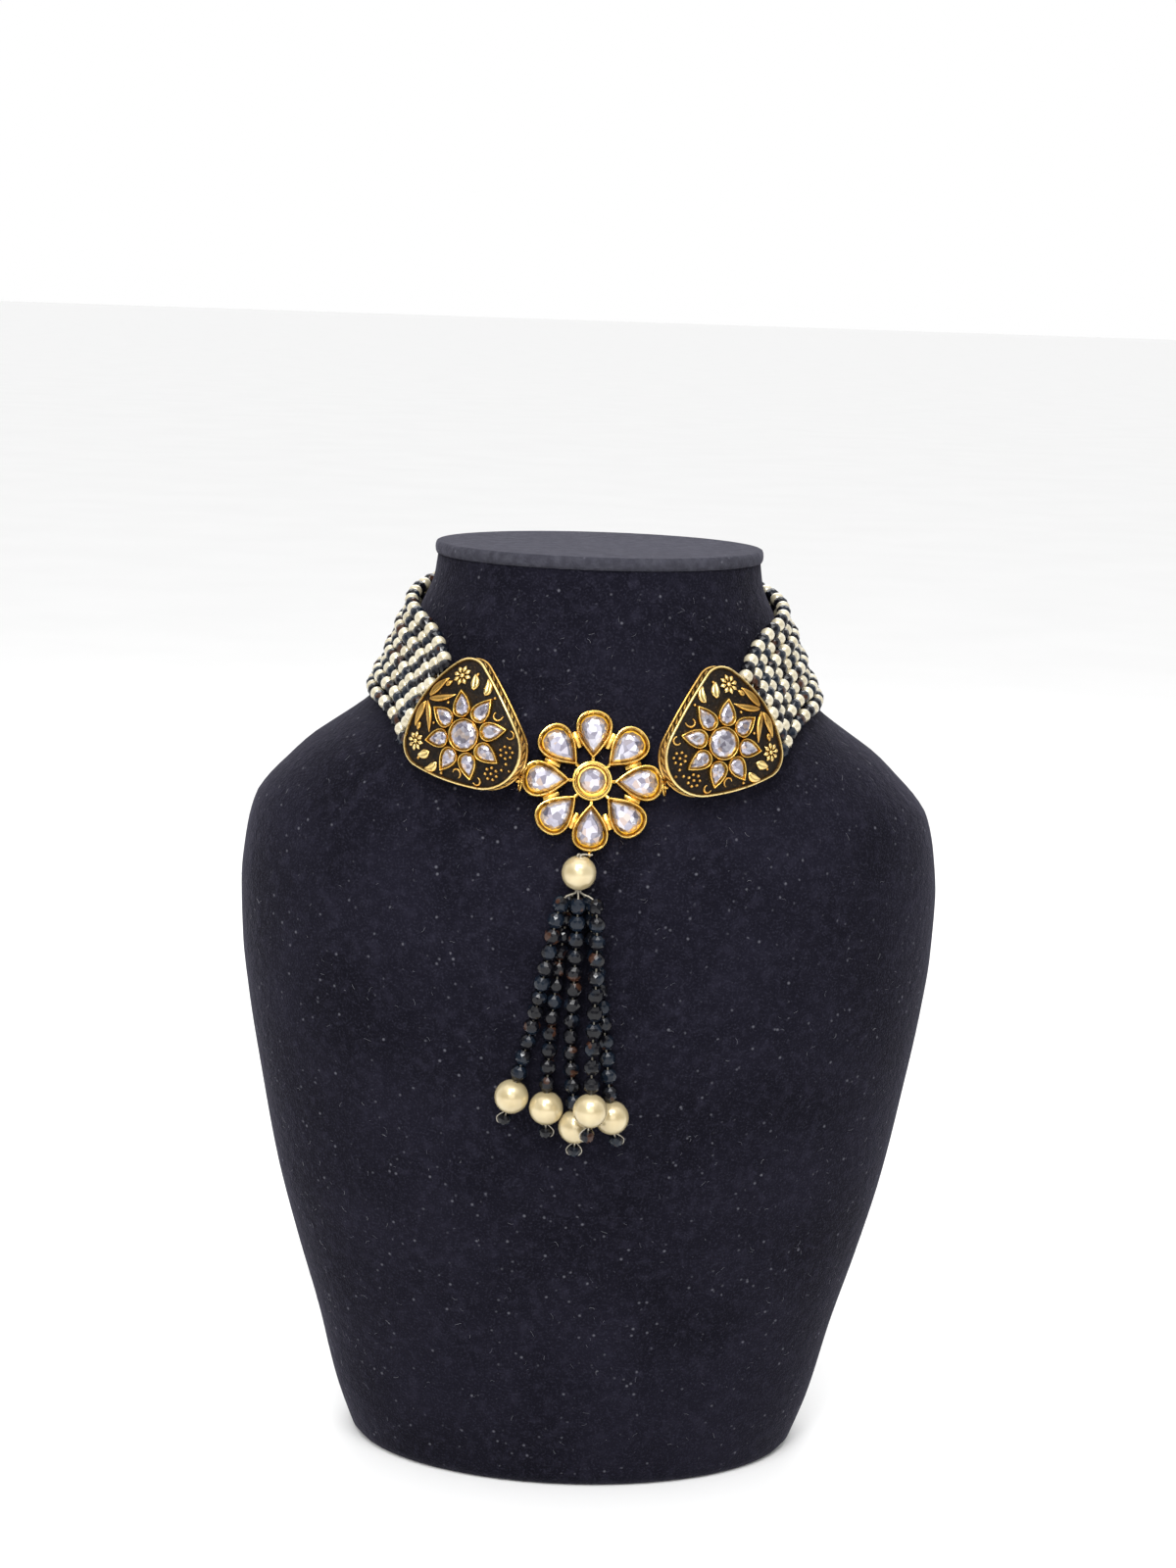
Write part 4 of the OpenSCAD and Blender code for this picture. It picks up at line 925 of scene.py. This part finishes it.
def cut_bead(d, l, sides=10):
    """Points and faces of a faceted rondelle: a drilled table at each end, facets and a narrow girdle."""
    rows = [(BORE_R / (d / 2), -0.42, 0), (0.55, -0.5, 0), (0.92, -0.27, 0.5), (1, -0.1, 0), (1, 0.1, 0),
            (0.92, 0.27, 0.5), (0.55, 0.5, 0), (BORE_R / (d / 2), 0.42, 0)]
    points, faces = [], []
    for share, z, half in rows:
        for j in range(sides):
            a = (j + half) * math.tau / sides
            points.append((d / 2 * share * math.cos(a), d / 2 * share * math.sin(a), l * z))
    for i in range(len(rows) - 1):
        low, high = rows[i][2], rows[i + 1][2]
        for j in range(sides):
            a, b = i * sides + j, i * sides + (j + 1) % sides
            c, e = (i + 1) * sides + j, (i + 1) * sides + (j + 1) % sides
            if low == high:
                faces.append((a, b, e, c))
            elif high > low:
                faces += [(a, b, c), (b, e, c)]
            else:
                faces += [(a, e, c), (a, b, e)]
    return np.array(points), faces


BAND_PEARL, BAND_RONDELLE = ball(PEARL_D, BORE_R), cut_bead(RONDELLE_D, RONDELLE_L)
TASSEL_BEAD = cut_bead(BEAD_D * TASSEL_BEAD_WIDE, BEAD_L * TASSEL_BEAD_LOW)
END_BEAD = cut_bead(END_BEAD_D, END_BEAD_D * END_BEAD_LOW)


# Routes

class Route:
    """A line of points that is read by the length along it."""

    def __init__(self, points):
        self.points = np.array(points, float)
        steps = np.linalg.norm(np.diff(self.points, axis=0), axis=1)
        self.lengths = np.concatenate([[0], np.cumsum(steps)])

    def at(self, s):
        return np.array([np.interp(s, self.lengths, self.points[:, k]) for k in range(3)])

    def frame(self, s, up):
        t = unit(self.at(min(s + 0.8, self.lengths[-1])) - self.at(max(s - 0.8, 0)))
        x = unit(np.cross(up, t))
        return framed(x, np.cross(t, x), t, self.at(s))


# Bead band

REST_R = max(PEARL_D, RONDELLE_D) / 2 + REST_GAP
CLASP_Z = BAND_BACK_Z - (STRANDS - 1) * BAND_PITCH / 2
CLASP_H = (STRANDS - 1) * BAND_PITCH + 3
CLASP = seat(180, CLASP_Z, CLASP_LIFT)


def strand_hole(k):
    """Where strand k meets the plaque, in the plaque's own frame."""
    x = ((STRANDS + 1) / 2 - k) * STRAND_PITCH - HOLE_SHIFT * PLAQUE_W
    y = -PLAQUE_LOW
    if x <= -CORNER_X:
        y = CORNER_Y - math.sqrt(max(CORNER_R ** 2 - (x + CORNER_X) ** 2, 0))
    return np.array([x, y - 0.2, on_dome([[x, y, WALL_BACK]])[0][2] + REST_R])


def hermite(p, m, q, n, t):
    return ((2 * t ** 3 - 3 * t * t + 1) * p + (t ** 3 - 2 * t * t + t) * m
            + (3 * t * t - 2 * t ** 3) * q + (t ** 3 - t * t) * n)


def strand_z(k, a, a0, z0):
    """Height of strand k at the angle a round the neck, from the plaque at a0 to the clasp."""
    side, back = BAND_SIDE_Z - (k - 1) * BAND_PITCH * 0.93, BAND_BACK_Z - (k - 1) * BAND_PITCH
    if a < 90:
        return hermite(z0, SLOPE_START * (90 - a0), side, SLOPE_SIDE * (90 - a0), (a - a0) / (90 - a0))
    return hermite(side, SLOPE_SIDE * 90, back, 0, (a - 90) / 90)


def strand_point(k, a, a0, z0):
    z = strand_z(k, a, a0, z0)
    return bust_at(a, z) + (REST_R + (k % 2) * STACK) * outward(a, z)


def strand_route(k):
    """Strand k's line from the plaque to the clasp, clear of the neck and bent to its two ends."""
    hole = placed(PLAQUE, strand_hole(k))
    end = placed(CLASP, [-CLASP_W / 2 - CLASP_REACH, (STRANDS + 1 - 2 * k) * BAND_PITCH / 2, CLASP_T / 2])
    end[0] = abs(end[0])
    a0, a1 = angle_of(hole), angle_of(end)
    first, last = strand_point(k, a0, a0, hole[2]), strand_point(k, a1, a0, hole[2])
    points = []
    for a in np.linspace(a0, a1, ROUTE_STEPS + 1):
        at_plaque, at_clasp = max(1 - (a - a0) / FADE, 0) ** 2, max(1 - (a1 - a) / FADE, 0) ** 2
        points.append(strand_point(k, a, a0, hole[2]) + (hole - first) * at_plaque + (end - last) * at_clasp)
    return Route(points)


BEAD_STEP = (PEARL_D + RONDELLE_L) / 2 + BEAD_GAP
LEAD = RONDELLE_D / 2 + 1.2


def make_strand(k, side, route):
    """Pearls and black beads in turn on a thread."""
    rows = k * ROW_SLANT + (BEAD_STEP if side == "right" and k % 2 == 1 else 0)
    skipped = int(rows // BEAD_STEP)
    first = LEAD + rows - skipped * BEAD_STEP
    count = int((route.lengths[-1] - first - LEAD) // BEAD_STEP)
    pearls, black, cord = Shape(), Shape(), Shape()
    # A bead also fills the bare stretch before the first one, where there is room for it
    places = [(j, first + j * BEAD_STEP) for j in range(-1, count + 1) if first + j * BEAD_STEP > 1.2]
    rng = random.Random(k * 2 + (side == "left"))
    for j, s in places:
        m = route.frame(s, [0, 0, 1]) @ turn_z(rng.uniform(0, 360))
        bead, shape = (BAND_PEARL, pearls) if (j + skipped) % 2 == 0 else (BAND_RONDELLE, black)
        shape.add(*bead, 0, m)
    tube(cord, [route.at(s) for s in np.linspace(0, route.lengths[-1], 40)], THREAD_D, 5)
    mirror, node = side == "left", [f"strand_{side}_{k}"]
    pearls.piece(f"pearls_{side}_{k}", [PEARL], "pearl", node, mirror=mirror)
    black.piece(f"black_beads_{side}_{k}", [BLACK], "black_bead", node, smooth=False, mirror=mirror)
    cord.piece(f"band_thread_{side}_{k}", [THREAD], "thread", node, mirror=mirror)


def make_clasp():
    """A flat fastener with rounded edges, a bar for the strands at each end and a tongue across it."""
    shape = Shape()

    def block(w, h, low, high, y=0.0, x=0.0, soft=0.5):
        corners = []
        for sx, sy, a0 in ((1, 1, 0), (-1, 1, 90), (-1, -1, 180), (1, -1, 270)):
            for a in np.linspace(a0, a0 + 90, 6):
                corners.append((x + sx * (w / 2 - 1) + cosd(a), y + sy * (h / 2 - 1) + sind(a)))
        outline = np.array(corners)
        rows = [(0.25, low), (0, low + 0.25), (0, high - soft), (soft * 0.35, high - soft * 0.3),
                (soft, high)]
        shape.loft([flat(inset(outline, d), z) for d, z in rows], 0, CLASP)

    block(CLASP_W - 3, CLASP_H - 1.5, 0, CLASP_T - 0.4)
    block(2.6, CLASP_H, 0, CLASP_T, 0, -CLASP_W / 2 + 1.3)
    block(2.6, CLASP_H, 0, CLASP_T, 0, CLASP_W / 2 - 1.3)
    block(CLASP_W - 6, 6, CLASP_T - 0.6, CLASP_T, 0, 0, 0.3)
    shape.piece("clasp_plate", [ANTIQUE], "antique_gold", ["clasp"], crease=30)


# Tassel

def on_chest(x, depth, z):
    a = math.degrees(math.asin(x / half_w(z)))
    return bust_at(a, z) + depth * outward(a, z)


TASSEL_CENTER = on_chest(TASSEL_X, DROP_D / 2 + REST_GAP, TASSEL_Z)


def spline(knots):
    """A smooth line through the knots."""
    q = np.array(knots, float)
    n = len(q) - 1
    out = []
    for i in range(n):
        a, b, c, d = q[max(i - 1, 0)], q[i], q[i + 1], q[min(i + 2, n)]
        square, cube = 2 * a - 5 * b + 4 * c - d, 3 * b - a - 3 * c + d
        for j in range(SPLINE_STEPS):
            t = j / SPLINE_STEPS
            out.append(b + ((c - a) * t + square * t * t + cube * t ** 3) / 2)
    return out + [q[n]]


# The sides on which the thread runs round each string's end bead
LOOP_WAYS = [(1,), (-1,), (1, -1), (1,), (-1,)]


def make_tassel_string(i):
    """Black beads down to the large pearl, and the end bead under it with its loop of thread."""
    x, y = np.array(HOLE_SPREAD[i]) * HOLE_RING
    knots = [TASSEL_CENTER + [x, y, 1], TASSEL_CENTER + [x, y, -DROP_D / 2 - 0.3]]
    knots += [on_chest(q[0], q[1], TASSEL_Z - q[2]) for q in STRING_KNOTS[i]]
    route = Route(spline(knots))
    first, drop = route.lengths[2 * SPLINE_STEPS], route.lengths[5 * SPLINE_STEPS]
    room = drop - first - DROP_D / 2 - BEAD_GAP
    count = int((room + BEAD_L / 2) // (BEAD_L + BEAD_GAP))
    spread = (room - BEAD_L / 2) / (count - 1)
    rng = random.Random(i)
    beads, end, loops = Shape(), Shape(), Shape()
    for j in range(count):
        m = route.frame(first + j * spread, [0, 1, 0]) @ turn_z(rng.uniform(0, 36))
        beads.add(*TASSEL_BEAD, 0, m)
    s = drop + DROP_D / 2 + END_THREAD + END_BEAD_D * 0.45
    m = route.frame(min(s, route.lengths[-1]), [0, 1, 0])
    end.add(*END_BEAD, 0, m)
    r, l = END_BEAD_D / 2 + 0.2, END_BEAD_D * 0.45
    for way in LOOP_WAYS[i]:
        loop = [(0.1 * way, 0, -l - END_THREAD - 0.3), (0.9 * way, -0.2, -l - 0.7),
                (r * 0.8 * way, -0.3, -l * 0.75), (r * way, -0.3, -0.1), (r * 0.82 * way, -0.3, l * 0.75),
                (0.7 * way, -0.2, l + 0.35), (0, 0, l + 0.3)]
        tube(loops, placed(m, np.array(spline(loop))[::2]), THREAD_D * 0.6, 5)
    name = f"tassel_string_{i + 1}"
    beads.piece(f"{name}_beads", [BLACK], "black_bead", [name], smooth=False)
    end.piece(f"tassel_end_bead_{i + 1}", [BLACK], "black_bead", ["tassel_end_beads"], smooth=False)
    loops.piece(f"tassel_end_loop_{i + 1}", [THREAD], "thread")


# Everything

make_bust()
make_neck_disc()
make_lint()
make_flower()
for side in ("left", "right"):
    make_plaque(side)
for k in range(1, STRANDS + 1):
    route = strand_route(k)
    for side in ("left", "right"):
        make_strand(k, side, route)
make_clasp()
for i in range(len(STRING_KNOTS)):
    make_tassel_string(i)

# The CAD solids whose shape is right get their material
FINISHES = {
    GOLD: ["link_left", "link_right"],
    LARGE_PEARL: ["tassel_pearl"] + [f"tassel_drop_{i}" for i in range(1, 6)],
    THREAD: ["strand_threads_left", "strand_threads_right", "tassel_threads", "tassel_loop"],
}
for material, names in FINISHES.items():
    for name in names:
        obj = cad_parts[name]
        if not obj.material_slots:
            obj.data.materials.append(material)
        for slot in obj.material_slots:
            slot.material = material


# Floor, light and background, in metres

FLOOR_REACH = 60.0
CHEST = (0, -0.05, 0.22)


def make_floor():
    """A plain pale floor that ends far behind the bust."""
    n = Nodes("pale_floor", Roughness=0.85)
    n.color(n.mix(n.span(n.noise(6, 3), 0.3, 0.7), (0.88, 0.88, 0.88), (0.90, 0.90, 0.90)))
    mesh = bpy.data.meshes.new("floor")
    r = FLOOR_REACH
    mesh.from_pydata([(-r, -r, 0), (r, -r, 0), (r, r, 0), (-r, r, 0)], [], [(0, 1, 2, 3)])
    mesh.materials.append(n.material)
    floor = bpy.data.objects.new("floor", mesh)
    bpy.context.scene.collection.objects.link(floor)
    floor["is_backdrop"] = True


def make_light(name, at, aim, size, power):
    """A flat rectangular light at one place, aimed at another."""
    data = bpy.data.lights.new(name, "AREA")
    data.shape = "RECTANGLE"
    data.size, data.size_y = size
    data.energy = power
    light = bpy.data.objects.new(name, data)
    at, aim = np.array(at, float), np.array(aim, float)
    back = unit(at - aim)
    x = unit(np.cross([0, 0, 1], back)) if abs(back[2]) < 0.99 else np.array([1.0, 0, 0])
    light.matrix_world = Matrix(framed(x, np.cross(back, x), back, at).tolist())
    bpy.context.scene.collection.objects.link(light)


make_floor()
make_light("overhead", (0.0, -0.75, 1.3), CHEST, (0.9, 0.5), 10)
make_light("key", (-0.3, -1.15, 1.0), CHEST, (0.28, 0.22), 5.5)
make_light("front", (0.1, -1.7, 0.7), CHEST, (1.3, 0.8), 5.5)
make_light("back", (0.0, 0.9, 1.1), CHEST, (1.2, 0.5), 5)


def make_sky_light():
    """Very soft light from above, which keeps the floor evenly pale."""
    data = bpy.data.lights.new("sky", "SUN")
    data.energy = 1.3
    data.angle = math.radians(90)
    light = bpy.data.objects.new("sky", data)
    light.rotation_euler = (math.radians(15), 0, 0)
    bpy.context.scene.collection.objects.link(light)


make_sky_light()


def make_world():
    """A studio with a white backdrop and a dimmer side towards the camera."""
    world = bpy.data.worlds.new("studio")
    world.use_nodes = True
    tree = world.node_tree
    place = tree.nodes.new("ShaderNodeTexCoord")
    split = tree.nodes.new("ShaderNodeSeparateXYZ")
    span = tree.nodes.new("ShaderNodeMapRange")
    for socket, value in (("From Min", -0.5), ("From Max", 0.6), ("To Min", 0.3), ("To Max", 1.0)):
        span.inputs[socket].default_value = value
    span.interpolation_type = "SMOOTHSTEP"
    tree.links.new(place.outputs["Generated"], split.inputs["Vector"])
    tree.links.new(split.outputs["Y"], span.inputs["Value"])
    tree.links.new(span.outputs["Result"], tree.nodes["Background"].inputs["Strength"])
    tree.nodes["Background"].inputs["Color"].default_value = (1, 1, 1, 1)
    bpy.context.scene.world = world


make_world()
bpy.context.scene.view_settings.view_transform = "Standard"

boxes = {"cad": cad_box, "visual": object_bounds()}
{name: [[float(v) for v in corner] for corner in box] for name, box in boxes.items()}
